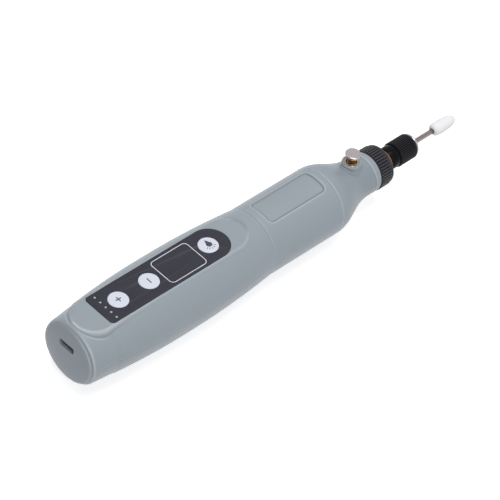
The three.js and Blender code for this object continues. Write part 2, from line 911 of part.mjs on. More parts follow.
const springPoints = springPath.getPoints(springSteps);
let springGap = Infinity;
springPoints.forEach((point, i) => {
  springPoints.slice(i + springStepsPerCurl / 2).forEach((other) => {
    springGap = Math.min(springGap, point.distanceTo(other) - 2 * springWireRadius);
  });
});
console.log(`least gap between the spring's curls: ${springGap.toFixed(2)} mm`);

// Nose ring: straight ribs all round, a bore over the neck, and a lip that holds the clear window
const ribCount = 44;
const ribDepth = 0.35;
const ringShoulder = 1.5;
const ringEdge = 0.5;
const lipThickness = 0.55;
const lipWidth = 0.75;

const ringRear = neckEnd + slip;
const ringPoints = Array.from({ length: 2 * ribCount }, (_, i) => {
  const angle = (Math.PI * i) / ribCount;
  const radius = ringRadius - (i % 2) * ribDepth;
  return new THREE.Vector2(radius * Math.cos(angle), radius * Math.sin(angle));
});
const ringHole = turned([
  [ringRear - overrun, 0],
  [ringRear - overrun, ringBore],
  [ringEnd - lipThickness, ringBore],
  [ringEnd - lipThickness, ringBore - lipWidth],
  [ringEnd + overrun, ringBore - lipWidth],
  [ringEnd + overrun, 0],
]);
const ringFront = turned(
  [
    [ringEnd - ringShoulder - slip, 0],
    [ringEnd - ringShoulder - slip, ringRadius - ribDepth],
    [ringEnd - ringEdge, ringRadius - ribDepth],
    [ringEnd, ringRadius - ribDepth - ringEdge],
    [ringEnd, 0],
  ],
  midSides,
);
const ringBody = drawnAcross(new THREE.Shape(ringPoints), ringRear, ringEnd - ringShoulder).add(ringFront);
piece("nose_ring", ringBody.subtract(ringHole), blackPlastic);

// Work lights in the mouth of the ring: a ring-shaped board with four lamps, behind a clear window
const lightBoardThickness = 0.6;
const lightBoardInner = 4.2;
const lampCount = 4;
const lampInset = 1.7;
const lampHalf = 0.5;
const lampHeight = 0.4;
const windowThickness = 0.4;
const windowFlange = 0.25;

const lightBoardRear = neckSpigotEnd + slip;
const lightBoardFront = lightBoardRear + lightBoardThickness;
const lightBoardOuter = neckSpigotRadius - slip;
const lampAt = lightBoardOuter - lampInset;
const lamps = Array.from({ length: lampCount }, (_, i) =>
  block(
    lightBoardFront - slip,
    lightBoardFront + lampHeight,
    -lampHalf,
    lampHalf,
    lampAt - lampHalf,
    lampAt + lampHalf,
  ).rotate([(360 * i) / lampCount, 0, 0]),
);
const lightBoard = tube(lightBoardRear, lightBoardFront, lightBoardInner, lightBoardOuter, midSides);
piece("light_board", lightBoard.add(joined(lamps)), boardGreen);

const windowRear = ringEnd - lipThickness - windowFlange - slip;
const windowRim = ringBore - lipWidth - slip;
const lightWindow = turnedRing(
  [
    [ringEnd - windowThickness, lightBoardInner + slip],
    [ringEnd - windowThickness, windowRim - slip],
    [windowRear, windowRim - slip],
    [windowRear, lightBoardOuter],
    [windowRear + windowFlange, lightBoardOuter],
    [windowRear + windowFlange, windowRim],
    [ringEnd, windowRim],
    [ringEnd, lightBoardInner + slip],
  ],
  midSides,
);
piece("light_window", lightWindow, clearPlastic);

// Motor: a steel can with a closed front, an end cap with two terminals, magnets, rotor and shaft
const canWall = 1;
const canBossRadius = 4;
const endCapThickness = 1.8;
const endCapSkirt = 2.5;
const endCapSkirtWall = 2;
const magnetThickness = 1.7;
const magnetLength = 21;
const magnetSetback = 3.6;
const magnetHalfAngle = 55;
const airGap = 0.4;
const rotorTrim = 1;
const commutatorRadius = 2.6;
const commutatorLength = 3.6;
const terminalLength = 2.4;
const terminalSide = 4;
const terminalHalfWidth = 0.8;
const terminalThickness = 0.5;
const leadRadius = 0.6;
const couplingWall = 1.5;

const leadLevel = boardBottom - gap - leadRadius;
const canRear = motorRear + endCapThickness + slip;
const canBore = motorRadius - canWall;
const motorCan = turnedRing(
  [
    [canRear, canBore],
    [canRear, motorRadius],
    [motorFront, motorRadius],
    [motorFront, canBossRadius],
    [motorFront + canBossLength, canBossRadius],
    [motorFront + canBossLength, motorShaftRadius + slip],
    [motorFront - canWall, motorShaftRadius + slip],
    [motorFront - canWall, canBore],
  ],
  midSides,
);
piece("motor_can", motorCan, steel);

const endCapFront = canRear + endCapSkirt;
const endCap = turnedRing(
  [
    [motorRear, motorShaftRadius + slip],
    [motorRear, motorRadius],
    [canRear - slip, motorRadius],
    [canRear - slip, canBore - slip],
    [endCapFront, canBore - slip],
    [endCapFront, canBore - slip - endCapSkirtWall],
    [canRear - slip, canBore - slip - endCapSkirtWall],
    [canRear - slip, motorShaftRadius + slip],
  ],
  midSides,
);
const terminals = pairOfBlocks(
  motorRear - terminalLength,
  motorRear + slip,
  terminalSide - terminalHalfWidth,
  terminalSide + terminalHalfWidth,
  leadLevel - terminalThickness / 2,
  leadLevel + terminalThickness / 2,
);
piece("motor_end_cap", endCap.add(terminals), blackPlastic);

const magnetFront = motorFront - canWall - magnetSetback;
const magnetRear = magnetFront - magnetLength;
const magnetRing = tube(magnetRear, magnetFront, canBore - slip - magnetThickness, canBore - slip, midSides);
[1, -1].forEach((side, i) => {
  const fan = new THREE.Shape();
  const reach = motorRadius + overrun;
  const rise = reach * Math.tan((magnetHalfAngle * Math.PI) / 180);
  fan.moveTo(0, 0);
  fan.lineTo(side * reach, rise);
  fan.lineTo(side * reach, -rise);
  const wedge = drawnAcross(fan, magnetRear - overrun, magnetFront + overrun);
  piece(`motor_magnet_${i + 1}`, magnetRing.intersect(wedge), ironBlack);
});

const rotorRadius = canBore - slip - magnetThickness - airGap;
const rotorRear = magnetRear + rotorTrim;
const rotorBore = motorShaftRadius + slip;
piece("motor_rotor", tube(rotorRear, magnetFront - rotorTrim, rotorBore, rotorRadius, midSides), ironBlack);

const commutatorFront = rotorRear - slip;
const commutatorRear = commutatorFront - commutatorLength;
const commutator = tube(commutatorRear, commutatorFront, rotorBore, commutatorRadius, smallSides);
piece("motor_commutator", commutator, brass);

const shaftEnd = (couplingRear + couplingFront) / 2;
piece("motor_shaft", rod(motorRear + slip, shaftEnd, motorShaftRadius, smallSides), steel);

// Coupling sleeve from the motor shaft to the spindle
const shaftBore = spindleRadius + slip;
const couplingRadius = spindleRadius + couplingWall;
const spindleRear = shaftEnd + slip;
const coupling = turnedRing(
  [
    [couplingRear, rotorBore],
    [couplingRear, couplingRadius],
    [couplingFront, couplingRadius],
    [couplingFront, shaftBore],
    [shaftEnd, shaftBore],
    [shaftEnd, rotorBore],
  ],
  smallSides,
);
piece("drive_coupling", coupling, brass);

// Spindle, with a cross hole for the lock pin
const lockHoleClear = 0.3;
const spindleSetback = 0.8;
const spindleFront = sleeveRear - spindleSetback;
const lockHoleReach = spindleRadius + overrun;
const lockHole = post(lockAt, 0, -lockHoleReach, lockHoleReach, pinRadius + lockHoleClear);
piece("spindle", rod(spindleRear, spindleFront, spindleRadius, midSides).subtract(lockHole), steel);

// Two ball bearings, each with an outer ring, an inner ring and balls in a cage
const raceHeight = 1.15;
const ballClear = 0.05;
const ballCount = 7;
const cageHalf = 0.3;
const ballColumns = 6;
const ballRows = 4;

const innerRaceOuter = shaftBore + raceHeight;
const outerRaceInner = bearingRadius - raceHeight;
const ballAt = (innerRaceOuter + outerRaceInner) / 2;
const ballRadius = (outerRaceInner - innerRaceOuter) / 2 - ballClear;
function ballsInCage(middle) {
  const balls = Array.from({ length: ballCount }, (_, i) => {
    const geometry = new THREE.SphereGeometry(ballRadius, ballColumns, ballRows);
    geometry.translate(middle, 0, ballAt);
    return solid(geometry).rotate([(360 * i) / ballCount, 0, 0]);
  });
  const cageSides = 2 * ballCount;
  const cage = tube(middle - cageHalf, middle + cageHalf, ballAt - cageHalf, ballAt + cageHalf, cageSides);
  return joined([cage, ...balls]);
}
[["rear", rearBearingStart], ["front", frontBearingStart]].forEach(([name, x]) => {
  piece(`${name}_bearing_outer`, tube(x, x + bearingWidth, outerRaceInner, bearingRadius, midSides), steel);
  piece(`${name}_bearing_inner`, tube(x, x + bearingWidth, shaftBore, innerRaceOuter, midSides), steel);
  piece(`${name}_bearing_balls`, ballsInCage(x + bearingWidth / 2), steel);
});

const circlipRing = tube(
  circlipStart,
  circlipStart + circlipThickness,
  seatRadius - circlipDepth,
  seatRadius + circlipGrip - slip,
  midSides,
);
const circlipGap = block(
  circlipStart - overrun,
  circlipStart + circlipThickness + overrun,
  -circlipMouth / 2,
  circlipMouth / 2,
  -bearingRadius - overrun,
  0,
);
piece("bearing_circlip", circlipRing.subtract(circlipGap), steel);

// Brass collar on the spindle between the nose ring and the chuck
const collar = tube(collarRear, collarRear + collarLength, shaftBore, chuckRadius, midSides);
piece("spindle_collar", collar, brass);

// Chuck: a body with a slotted cone, three jaws in the slots, and a sleeve whose cone closes them
const chuckTailInset = 0.47;
const sleeveConeInset = 3.2;
const sleeveEdge = 0.8;
const coreSlip = 0.2;
const coreSetback = 1;
const bitStart = 2.2;
const jawHalfWidth = 0.8;
const jawConeInset = 1.6;
const jawProud = 0.6;
const jawGrip = 0.075;
const jawClear = 0.3;
const jawTravel = 1.2;
const jawCount = 3;

const bitBore = bitRadius + slip;
const chuckTailRadius = chuckRadius - chuckTailInset;
const coneRear = sleeveRear + sleeveConeInset;
const coneSlope = coneDrop / (sleeveEnd - coneRear);
function coneRadius(x) {
  return sleeveBore - coneSlope * (x - coneRear);
}
const jawFront = sleeveEnd + jawProud;
const jawLength = sleeveEnd - coneRear - jawConeInset;
const jawRear = jawFront - jawLength;
const coreFront = sleeveEnd - coreSetback;
const chuckCore = turnedRing(
  [
    [chuckRear, shaftBore],
    [chuckRear, chuckTailRadius],
    [sleeveRear - slip, chuckTailRadius],
    [sleeveRear - slip, sleeveBore - coreSlip],
    [coneRear, sleeveBore - coreSlip],
    [coreFront, coneRadius(coreFront) - coreSlip],
    [coreFront, bitBore],
    [spindleFront + slip, bitBore],
    [spindleFront + slip, shaftBore],
  ],
  midSides,
);
const jawSlots = Array.from({ length: jawCount }, (_, i) =>
  block(
    jawRear - jawTravel - gap,
    jawFront + overrun,
    -jawHalfWidth - slip,
    jawHalfWidth + slip,
    0,
    chuckRadius + overrun,
  ).rotate([(360 * i) / jawCount, 0, 0]),
);
piece("chuck_body", chuckCore.subtract(joined(jawSlots)), blackPlastic);

const sleeve = turnedRing(
  [
    [sleeveRear, sleeveBore],
    [sleeveRear, chuckRadius],
    [sleeveEnd - sleeveEdge, chuckRadius],
    [sleeveEnd, chuckRadius - sleeveEdge / 2],
    [sleeveEnd, sleeveMouth],
    [coneRear, sleeveBore],
  ],
  midSides,
);
piece("chuck_sleeve", sleeve, blackPlastic);

const jawSection = new THREE.Shape();
jawSection.moveTo(jawRear, bitRadius + jawGrip);
jawSection.lineTo(jawFront, bitRadius + jawGrip);
jawSection.lineTo(jawFront, coneRadius(jawFront) - jawClear);
jawSection.lineTo(jawRear, coneRadius(jawRear) - jawClear);
for (let i = 0; i < jawCount; i += 1) {
  const geometry = new THREE.ExtrudeGeometry(jawSection, { depth: 2 * jawHalfWidth, bevelEnabled: false });
  geometry.translate(0, 0, -jawHalfWidth);
  geometry.rotateX(Math.PI / 2);
  piece(`chuck_jaw_${i + 1}`, solid(geometry).rotate([(360 * i) / jawCount, 0, 0]), lightGrey);
}

// Bit: a plain steel shank with the white stone on its end
const stoneSocket = 5;
const stoneTaper = 0.3;
const stoneEdge = 0.3;
const stoneTipLength = 2.4;
const stoneTipShares = [[0.45, 0.88], [0.82, 0.5]];

const shankRear = sleeveRear + bitStart;
const socketEnd = stoneRear + stoneSocket;
const stoneShoulder = tipEnd - stoneTipLength;
const stoneTipRadius = stoneRadius - stoneTaper;
piece("bit_shank", rod(shankRear, socketEnd - slip, bitRadius, smallSides), steel);

const stone = turned(
  [
    [socketEnd, 0],
    [socketEnd, bitRadius + slip],
    [stoneRear, bitRadius + slip],
    [stoneRear, stoneRadius - stoneEdge],
    [stoneRear + stoneEdge, stoneRadius],
    [stoneShoulder, stoneTipRadius],
    ...stoneTipShares.map(([along, out]) => [stoneShoulder + stoneTipLength * along, stoneTipRadius * out]),
    [tipEnd, 0],
  ],
  midSides,
);
piece("grinding_stone", stone, stoneWhite);

// Leads: cell to control board at both ends, and control board to the motor's terminals
const leadSteps = 12;
const leadSides = 8;
const leadDrop = 2;
const leadRun = 6;
const leadBend = 1.6;

function lead(name, places, material) {
  const curve = new THREE.CatmullRomCurve3(places.map(([x, y, z]) => new THREE.Vector3(x, y, z)));
  piece(name, wire(curve, leadRadius, leadSteps, leadSides), material);
}
[["red", terminalSide, redWire], ["black", -terminalSide, blackWire]].forEach(([name, y, material]) => {
  const places = [
    [boardFront - leadRun, y, leadLevel],
    [boardFront, y, leadLevel],
    [motorRear - terminalLength - gap, y, leadLevel],
  ];
  lead(`motor_lead_${name}`, places, material);
});
function cellLead(name, x, towards, material) {
  const places = [
    [x, 0, -cellSink + leadDrop],
    [x, 0, cellTop - leadBend],
    [x + towards * leadBend, 0, leadLevel - leadBend / 2],
    [x + towards * leadRun, 0, leadLevel],
  ];
  lead(name, places, material);
}
cellLead("battery_lead_black", cellRear - slip - tabThickness - gap - leadRadius, 1, blackWire);
cellLead("battery_lead_red", cellFront + slip + tabThickness + gap + leadRadius, -1, redWire);

export default group;
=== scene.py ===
import math

import bpy
import numpy as np
from mathutils import Matrix, Vector


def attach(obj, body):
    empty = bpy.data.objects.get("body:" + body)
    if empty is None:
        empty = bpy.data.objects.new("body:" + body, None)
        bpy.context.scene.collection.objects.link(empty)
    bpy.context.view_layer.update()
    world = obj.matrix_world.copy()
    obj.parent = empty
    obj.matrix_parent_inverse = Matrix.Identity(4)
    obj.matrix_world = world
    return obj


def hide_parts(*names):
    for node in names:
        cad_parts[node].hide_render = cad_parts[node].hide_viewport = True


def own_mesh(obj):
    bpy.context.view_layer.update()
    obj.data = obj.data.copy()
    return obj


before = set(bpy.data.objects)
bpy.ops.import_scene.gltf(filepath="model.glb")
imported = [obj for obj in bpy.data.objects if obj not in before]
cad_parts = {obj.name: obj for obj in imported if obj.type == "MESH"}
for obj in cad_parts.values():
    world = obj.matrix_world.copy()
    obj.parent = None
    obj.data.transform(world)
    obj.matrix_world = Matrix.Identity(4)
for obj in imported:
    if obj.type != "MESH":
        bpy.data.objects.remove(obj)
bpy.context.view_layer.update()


# The studio: a pale floor that goes over into a white background, one broad lamp over the tool,
# a smaller one on the tool's near side, and a camera at the photograph's place. Sizes in metres.
floor_size = 4.0
floor_drop = 0.00004
floor_color = (0.80, 0.80, 0.81, 1.0)
floor_white = 0.66
world_color = (1.0, 1.0, 1.0, 1.0)
world_strength = 0.6
world_dim = 0.16
world_dim_until, world_bright_from = 0.2, 0.85
world_bright_side = Vector((0.25, 0.6, 0.76)).normalized()
lamp_aim = Vector((0, 0, 0.02))


def added(tree, kind, inputs=None, **settings):
    """Makes a node with its settings, links or sets each of its inputs, and returns its outputs."""
    node = tree.nodes.new("ShaderNode" + kind)
    for name, value in settings.items():
        setattr(node, name, value)
    for place, source in (inputs or {}).items():
        if isinstance(source, bpy.types.NodeSocket):
            tree.links.new(source, node.inputs[place])
        else:
            node.inputs[place].default_value = source
    return node.outputs


def background_ray(tree):
    """1 for a ray that finds the white background: straight from the camera, off metal or through glass."""
    path = added(tree, "LightPath")
    found = path["Is Camera Ray"]
    for ray in ("Is Glossy Ray", "Is Transmission Ray"):
        found = added(tree, "Math", {0: found, 1: path[ray]}, operation="MAXIMUM")[0]
    return found


bpy.ops.object.select_all(action="DESELECT")
bpy.ops.mesh.primitive_plane_add(size=floor_size, location=(0, 0, 0))
floor = bpy.context.object
floor.name = "floor"
for vertex in floor.data.vertices:
    vertex.co.z = -floor_drop
floor_paint = bpy.data.materials.new("pale_floor")
floor_paint.use_nodes = True
floor_tree = floor_paint.node_tree
floor_shader = floor_tree.nodes["Principled BSDF"]
floor_shader.inputs["Base Color"].default_value = floor_color
floor_shader.inputs["Roughness"].default_value = 0.9
floor_shader.inputs["Specular IOR Level"].default_value = 0.0
floor_share = {0: background_ray(floor_tree), 1: floor_white}
floor_strength = added(floor_tree, "Math", floor_share, operation="MULTIPLY")[0]
floor_glow = added(floor_tree, "Emission", {"Strength": floor_strength})[0]
floor_sum = added(floor_tree, "AddShader", {0: floor_shader.outputs[0], 1: floor_glow})[0]
floor_tree.links.new(floor_sum, floor_tree.nodes["Material Output"].inputs["Surface"])
floor.data.materials.append(floor_paint)

world = bpy.data.worlds.new("studio")
bpy.context.scene.world = world
world.use_nodes = True
world_tree = world.node_tree
world_light = world_tree.nodes["Background"]
world_light.inputs["Strength"].default_value = world_strength
world_side = {0: added(world_tree, "TexCoord")["Generated"], 1: world_bright_side}
world_share = added(world_tree, "VectorMath", world_side, operation="DOT_PRODUCT")["Value"]
world_range = {"From Min": world_dim_until, "From Max": world_bright_from, "To Min": world_dim, "To Max": 1.0}
world_fade = added(world_tree, "MapRange", {"Value": world_share, **world_range})["Result"]
world_tree.links.new(world_fade, world_light.inputs["Color"])
world_white = added(world_tree, "Background", {"Color": world_color, "Strength": 1.0})[0]
world_both = {0: background_ray(world_tree), 1: world_light.outputs[0], 2: world_white}
world_mix = added(world_tree, "MixShader", world_both)[0]
world_tree.links.new(world_mix, world_tree.nodes["World Output"].inputs["Surface"])


def soft_lamp(name, place, size, power):
    """A square lamp that looks at the tool; its power is in watts."""
    data = bpy.data.lights.new(name, "AREA")
    data.shape = "SQUARE"
    data.size = size
    data.energy = power
    lamp = bpy.data.objects.new(name, data)
    bpy.context.scene.collection.objects.link(lamp)
    lamp.location = place
    lamp.rotation_euler = (lamp_aim - Vector(place)).to_track_quat("-Z", "Y").to_euler()


soft_lamp("overhead_lamp", (0.1, -0.1, 1.1), 0.6, 6.4)
soft_lamp("side_lamp", (-0.4, -1.0, 0.65), 0.3, 4.5)

camera_place = Vector((-0.65685, -0.54133, 0.86806))
camera_right = Vector((0.7181, -0.6875, 0.1081)).normalized()
camera_back = Vector((-0.5385, -0.4505, 0.7120)).normalized()
camera_up = camera_back.cross(camera_right).normalized()
camera_data = bpy.data.cameras.new("camera")
camera_data.sensor_width = 36.0
camera_data.lens = 217.6
camera_data.clip_start = 0.01
camera = bpy.data.objects.new("camera", camera_data)
bpy.context.scene.collection.objects.link(camera)
camera_turn = Matrix((camera_right, camera_up, camera_back)).transposed()
camera.matrix_world = Matrix.Translation(camera_place) @ camera_turn.to_4x4()
bpy.context.scene.camera = camera
bpy.context.scene.view_settings.view_transform = "Standard"


# Handle: two moulded shells of grey-blue plastic, split level along the side. The upper one has
# the keypad deck, proud of the barrel at the rear and let into it at the front. From here on sizes
# are in mm: x from the rear end forward, y and z from the tool's axis.
mm = 0.001
rear_end = -108.0
axis_height = 17.2167
belly_radius = 17.2
tail_radius = 14.1
step_radius = 15.05
shoulder_radius = 15.6
grip_radius = 15.0
shell_wall = 2.2
rim_at, step_at, shoulder_at, belly_start, belly_end, seam_at = 2.75, 12.6, 16.2, 49.0, 55.0, 97.0
deck_height = 14.3
deck_rear, deck_front, deck_half = 3.2, 91.5, 9.65
parting_height, parting_slit = 0.9, 0.02
parting_ease, parting_skin, parting_from = 0.06, 0.9, 1.2
handle_turns = 320
body_color = (0.318, 0.362, 0.400)
body_tint = (0.304, 0.348, 0.388)
# A lighter tone for painted highlights, and a darker one for painted shade and dark joints.
body_highlight_tone = (0.50, 0.55, 0.585)
body_shade_and_joint_tone = (0.19, 0.225, 0.25)
ridge_starts, ridge_full = 0.53, 0.66
weld_within, sliver_within, same_place = 0.0005, 0.0001, 0.001


def material(
    name, color, tint, roughness, spread, grain, depth,
    patch=9.0, metallic=0.0, wear_and_highlight_tone=None, shade_and_stain_tone=None, gloss=0.5,
):
    """A node material: broad patches of two tones, fine grain in bump and roughness, edges lightened by
    pointiness for wear, or, with a dark tone given, the painted highlights, painted shade and stains written
    per point on the piece. Grain, depth, patch in mm."""
    wear_and_highlight_tone = wear_and_highlight_tone or tuple(min(0.95, 1.25 * part + 0.02) for part in color)
    paint = bpy.data.materials.new(name)
    paint.use_nodes = True
    tree = paint.node_tree
    shader = tree.nodes["Principled BSDF"].inputs
    shader["Metallic"].default_value = metallic
    shader["Specular IOR Level"].default_value = gloss
    place = added(tree, "TexCoord")["Object"]
    patches = added(tree, "TexNoise", {"Vector": place, "Scale": 1 / (patch * mm), "Detail": 3.0})["Fac"]
    tones = {"Factor": patches, "A": (*color, 1), "B": (*tint, 1)}
    color_out = added(tree, "Mix", tones, data_type="RGBA")["Result"]
    # With a dark tone, the per-point value paints highlights towards the light tone and shade towards the
    # dark one; the dark tone also carries the stone's stain.
    if shade_and_stain_tone:
        light_shade_stain_value = added(tree, "Attribute", attribute_name="highlight_shade_wear_stain")["Fac"]
        tones_over = [(light_shade_stain_value, 0, 1, wear_and_highlight_tone), (light_shade_stain_value, 0, -1, shade_and_stain_tone)]
    else:
        ridges = added(tree, "NewGeometry")["Pointiness"]
        tones_over = [(ridges, ridge_starts, ridge_full, wear_and_highlight_tone)]
    for source, none_at, full_at, tone in tones_over:
        edge = added(tree, "MapRange", {"Value": source, "From Min": none_at, "From Max": full_at})
        highlight_shade_wear_stain = {"Factor": edge["Result"], "A": color_out, "B": (*tone, 1)}
        color_out = added(tree, "Mix", highlight_shade_wear_stain, data_type="RGBA")["Result"]
    tree.links.new(color_out, shader["Base Color"])
    grains = added(tree, "TexNoise", {"Vector": place, "Scale": 1 / (grain * mm), "Detail": 2.0})["Fac"]
    sheen = {"Value": grains, "To Min": roughness - spread, "To Max": roughness + spread}
    tree.links.new(added(tree, "MapRange", sheen)["Result"], shader["Roughness"])
    bump = added(tree, "Bump", {"Height": grains, "Distance": depth * mm})
    tree.links.new(bump["Normal"], shader["Normal"])
    return paint


def pick(piece):
    bpy.ops.object.select_all(action="DESELECT")
    piece.select_set(True)
    bpy.context.view_layer.objects.active = piece


def placed(x, y, z):
    """A point in mm, from the rear end and the tool's axis, as metres in the frame."""
    return (x + rear_end) * mm, y * mm, (z + axis_height) * mm


def on_axis(vertex):
    """The way back: a vertex in mm, from the rear end and the tool's axis."""
    return vertex.co.x / mm - rear_end, vertex.co.y / mm, vertex.co.z / mm - axis_height


def swung(aside, out, swing):
    """The y and z of a point beside and out from the axis, once it is swung about it."""
    return out * math.sin(swing) + aside * math.cos(swing), out * math.cos(swing) - aside * math.sin(swing)


def named(piece, name):
    piece.name = name
    piece.data.name = name
    return piece


def drawn(name, places, fill="NOTHING"):
    """A loop through the places, open for edit, which spun() and plate() draw out."""
    bpy.ops.object.select_all(action="DESELECT")
    bpy.ops.mesh.primitive_circle_add(vertices=len(places), radius=mm, fill_type=fill)
    piece = named(bpy.context.object, name)
    for vertex, place in zip(piece.data.vertices, places):
        vertex.co = place
    bpy.ops.object.mode_set(mode="EDIT")
    bpy.ops.mesh.select_all(action="SELECT")
    return piece


def faces_out():
    """Turns the faces of the piece under edit outwards and ends the edit."""
    bpy.ops.mesh.select_all(action="SELECT")
    bpy.ops.mesh.normals_make_consistent(inside=False)
    bpy.ops.object.mode_set(mode="OBJECT")


def spun(name, outline, turns, upright_at=None):
    """A closed outline, spun round the tool's axis from (x, radius) points, or round an upright line
    from (radius, height) points."""
    if upright_at is None:
        places = [placed(x, 0, radius) for x, radius in outline]
        centre, line = (0, 0, axis_height * mm), (1, 0, 0)
    else:
        x0 = (upright_at + rear_end) * mm
        places = [(x0 + radius * mm, 0, (height + axis_height) * mm) for radius, height in outline]
        centre, line = (x0, 0, 0), (0, 0, 1)
    piece = drawn(name, places)
    bpy.ops.mesh.spin(steps=turns, angle=2 * math.pi, center=centre, axis=line)
    bpy.ops.mesh.select_all(action="SELECT")
    bpy.ops.mesh.remove_doubles(threshold=weld_within * mm)
    bpy.ops.mesh.select_all(action="SELECT")
    bpy.ops.mesh.dissolve_degenerate(threshold=sliver_within * mm)
    bpy.ops.mesh.delete_loose()
    faces_out()
    return piece


def plate(name, outline, low, high):
    """A flat outline of (x, y) points, drawn up from one height to another."""
    piece = drawn(name, [placed(x, y, low) for x, y in outline], "NGON")
    bpy.ops.mesh.extrude_region_move(TRANSFORM_OT_translate={"value": (0, 0, (high - low) * mm)})
    faces_out()
    return piece


def block(low, high, swing=0.0):
    """A cuboid from one (x, aside, outward) corner to the other, swung about the tool's axis."""
    bpy.ops.object.select_all(action="DESELECT")
    bpy.ops.mesh.primitive_cube_add(size=1)
    piece = bpy.context.object
    for vertex in piece.data.vertices:
        x, aside, out = (end if part > 0 else start for part, start, end in zip(vertex.co, low, high))
        vertex.co = placed(x, *swung(aside, out, swing))
    return piece


def shifted(piece, y):
    for vertex in piece.data.vertices:
        vertex.co.y += y * mm
    return piece


def round_corners(x0, x1, y0, y1, radius, rear_radius=None, steps=12):
    """A rectangle's outline with round corners, at the rear of another radius if one is given."""
    rear_radius = radius if rear_radius is None else rear_radius
    corners = [
        (x1 - radius, y0 + radius, radius, -90),
        (x1 - radius, y1 - radius, radius, 0),
        (x0 + rear_radius, y1 - rear_radius, rear_radius, 90),
        (x0 + rear_radius, y0 + rear_radius, rear_radius, 180),
    ]
    outline = []
    for x, y, corner, start in corners:
        for i in range(steps + 1):
            angle = math.radians(start + 90 * i / steps)
            point = (x + corner * math.cos(angle), y + corner * math.sin(angle))
            if not outline or math.dist(point, outline[-1]) > same_place:
                outline.append(point)
    if math.dist(outline[0], outline[-1]) < same_place:
        outline.pop()
    return outline


def combined(piece, tool, operation):
    pick(piece)
    change = piece.modifiers.new("change", "BOOLEAN")
    change.operation = operation
    change.solver = "EXACT"
    change.object = tool
    bpy.ops.object.modifier_apply(modifier=change.name)
    bpy.data.objects.remove(tool)


def together(name, pieces):
    bpy.ops.object.select_all(action="DESELECT")
    for piece in pieces:
        piece.select_set(True)
    bpy.context.view_layer.objects.active = pieces[0]
    bpy.ops.object.join()
    return named(pieces[0], name)


def eased(piece, width, segments=2, angle=32):
    pick(piece)
    edge = piece.modifiers.new("edge", "BEVEL")
    edge.width = width * mm
    edge.segments = segments
    edge.limit_method = "ANGLE"
    edge.angle_limit = math.radians(angle)
    bpy.ops.object.modifier_apply(modifier=edge.name)


def finished(piece, paint, body, slot, *nodes, angle=38):
    """Smooths a piece, gives it its material, and ties it to its body and node; its finish (slot) is not
    used.
    """
    piece.data.materials.clear()
    piece.data.materials.append(paint)
    pick(piece)
    bpy.ops.object.shade_smooth_by_angle(angle=math.radians(angle))
    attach(piece, body)
    if nodes:
        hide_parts(*nodes)


def points_of(piece):
    """Arrays of the x, y and z of all of a piece's points."""
    points = np.empty(len(piece.data.vertices) * 3)
    piece.data.vertices.foreach_get("co", points)
    points = points.reshape(-1, 3) / mm
    return points[:, 0] - rear_end, points[:, 1], points[:, 2] - axis_height


def set_points(piece, x, y, z):
    points = np.stack([x + rear_end, y, z + axis_height], axis=1) * mm
    piece.data.vertices.foreach_set("co", points.ravel())
    piece.data.update()


def painted_light_and_stain(piece, share):
    """Writes how much lighter (to 1) or darker (to -1) each point is painted, by a function of its x, y and
    z: painted highlights and shade, the knurl's lighter tops and the stone's stain.
    """
    values = share(*points_of(piece))
    layer = piece.data.attributes.new("highlight_shade_wear_stain", "FLOAT", "POINT")
    layer.data.foreach_set("value", np.clip(values, -1, 1).astype(np.float32))


def bump_share(value, centre, width):
    return np.exp(-(((value - centre) / width) ** 2))


def post(x, y, low, high, radius, sides=48):
    turn = 2 * math.pi / sides
    ring = [(x + radius * math.cos(turn * i), y + radius * math.sin(turn * i)) for i in range(sides)]
    return plate("post", ring, low, high)


def eased_share(t):
    t = np.clip(t, 0, 1)
    return t * t * (3 - 2 * t)


def barrel_radius(x):
    x = np.asarray(x, dtype=float)
    tail = tail_radius + (step_radius - tail_radius) * np.clip((x - rim_at) / (step_at - rim_at), 0, 1)
    step = (shoulder_radius - step_radius) * eased_share((x - step_at) / (shoulder_at - step_at))
    swell = (belly_start - x) / (belly_start - shoulder_at)
    front = (x - belly_end) / (seam_at - belly_end)
    rear_part = tail + step
    middle = belly_radius - (belly_radius - shoulder_radius) * np.clip(swell, 0, 1) ** 2
    end = belly_radius - (belly_radius - grip_radius) * np.clip(front, 0, 1) ** 2
    return np.where(x < shoulder_at, rear_part, np.where(x < belly_end, middle, end))


def outline_distance(x, y, x0, x1, half, corner):
    """How far a point lies outside a rectangle with round corners; negative inside it."""
    qx = np.abs(x - (x0 + x1) / 2) - (x1 - x0) / 2 + corner
    qy = np.abs(y) - half + corner
    return np.hypot(np.maximum(qx, 0), np.maximum(qy, 0)) + np.minimum(np.maximum(qx, qy), 0) - corner


def spaced(start, end, step):
    return list(np.arange(start, end, step))


dome_depth, dome_radius, dome_power = 1.5, 12.75, 3.2
dome_rows = (0, 2, 4, 6, 8, 9.5, 10.5, 11.3, 11.9, 12.2)
dome = [(dome_depth * (r / dome_radius) ** dome_power, r) for r in dome_rows]
band = [
    (1.41, 12.36), (1.52, 12.51), (1.66, 12.63), (1.81, 12.73), (1.94, 12.83), (2.05, 12.95), (2.13, 13.09),
    (2.19, 13.24), (2.26, 13.4), (2.35, 13.56), (2.47, 13.71), (2.63, 13.85), (2.84, 13.97), (3.08, 14.06),
]
stations = spaced(3.35, 16.6, 0.3) + spaced(16.6, 80.4, 1.1) + spaced(80.4, 93.6, 0.33)
stations += [94.6, 95.8, 96.75]
skin = dome + band + [(x, float(barrel_radius(x))) for x in stations]
seam_edge = [(96.9, 14.97), (96.97, 14.9), (97.0, 14.78)]
wall_rows = (92.3, 84, 74, 62, 50, 38, 26, 18, 15.4, 13.3)
hollow = [(97.0, 12.9), (93.9, 12.9), (93.9, 13.7), (92.3, 13.7)]
hollow += [(x, float(barrel_radius(x)) - shell_wall) for x in wall_rows]
hollow += [(2.6, 11.9), (2.6, 9.0), (2.6, 5.0), (2.6, 0)]
handle = spun("handle", skin + seam_edge + hollow, handle_turns)

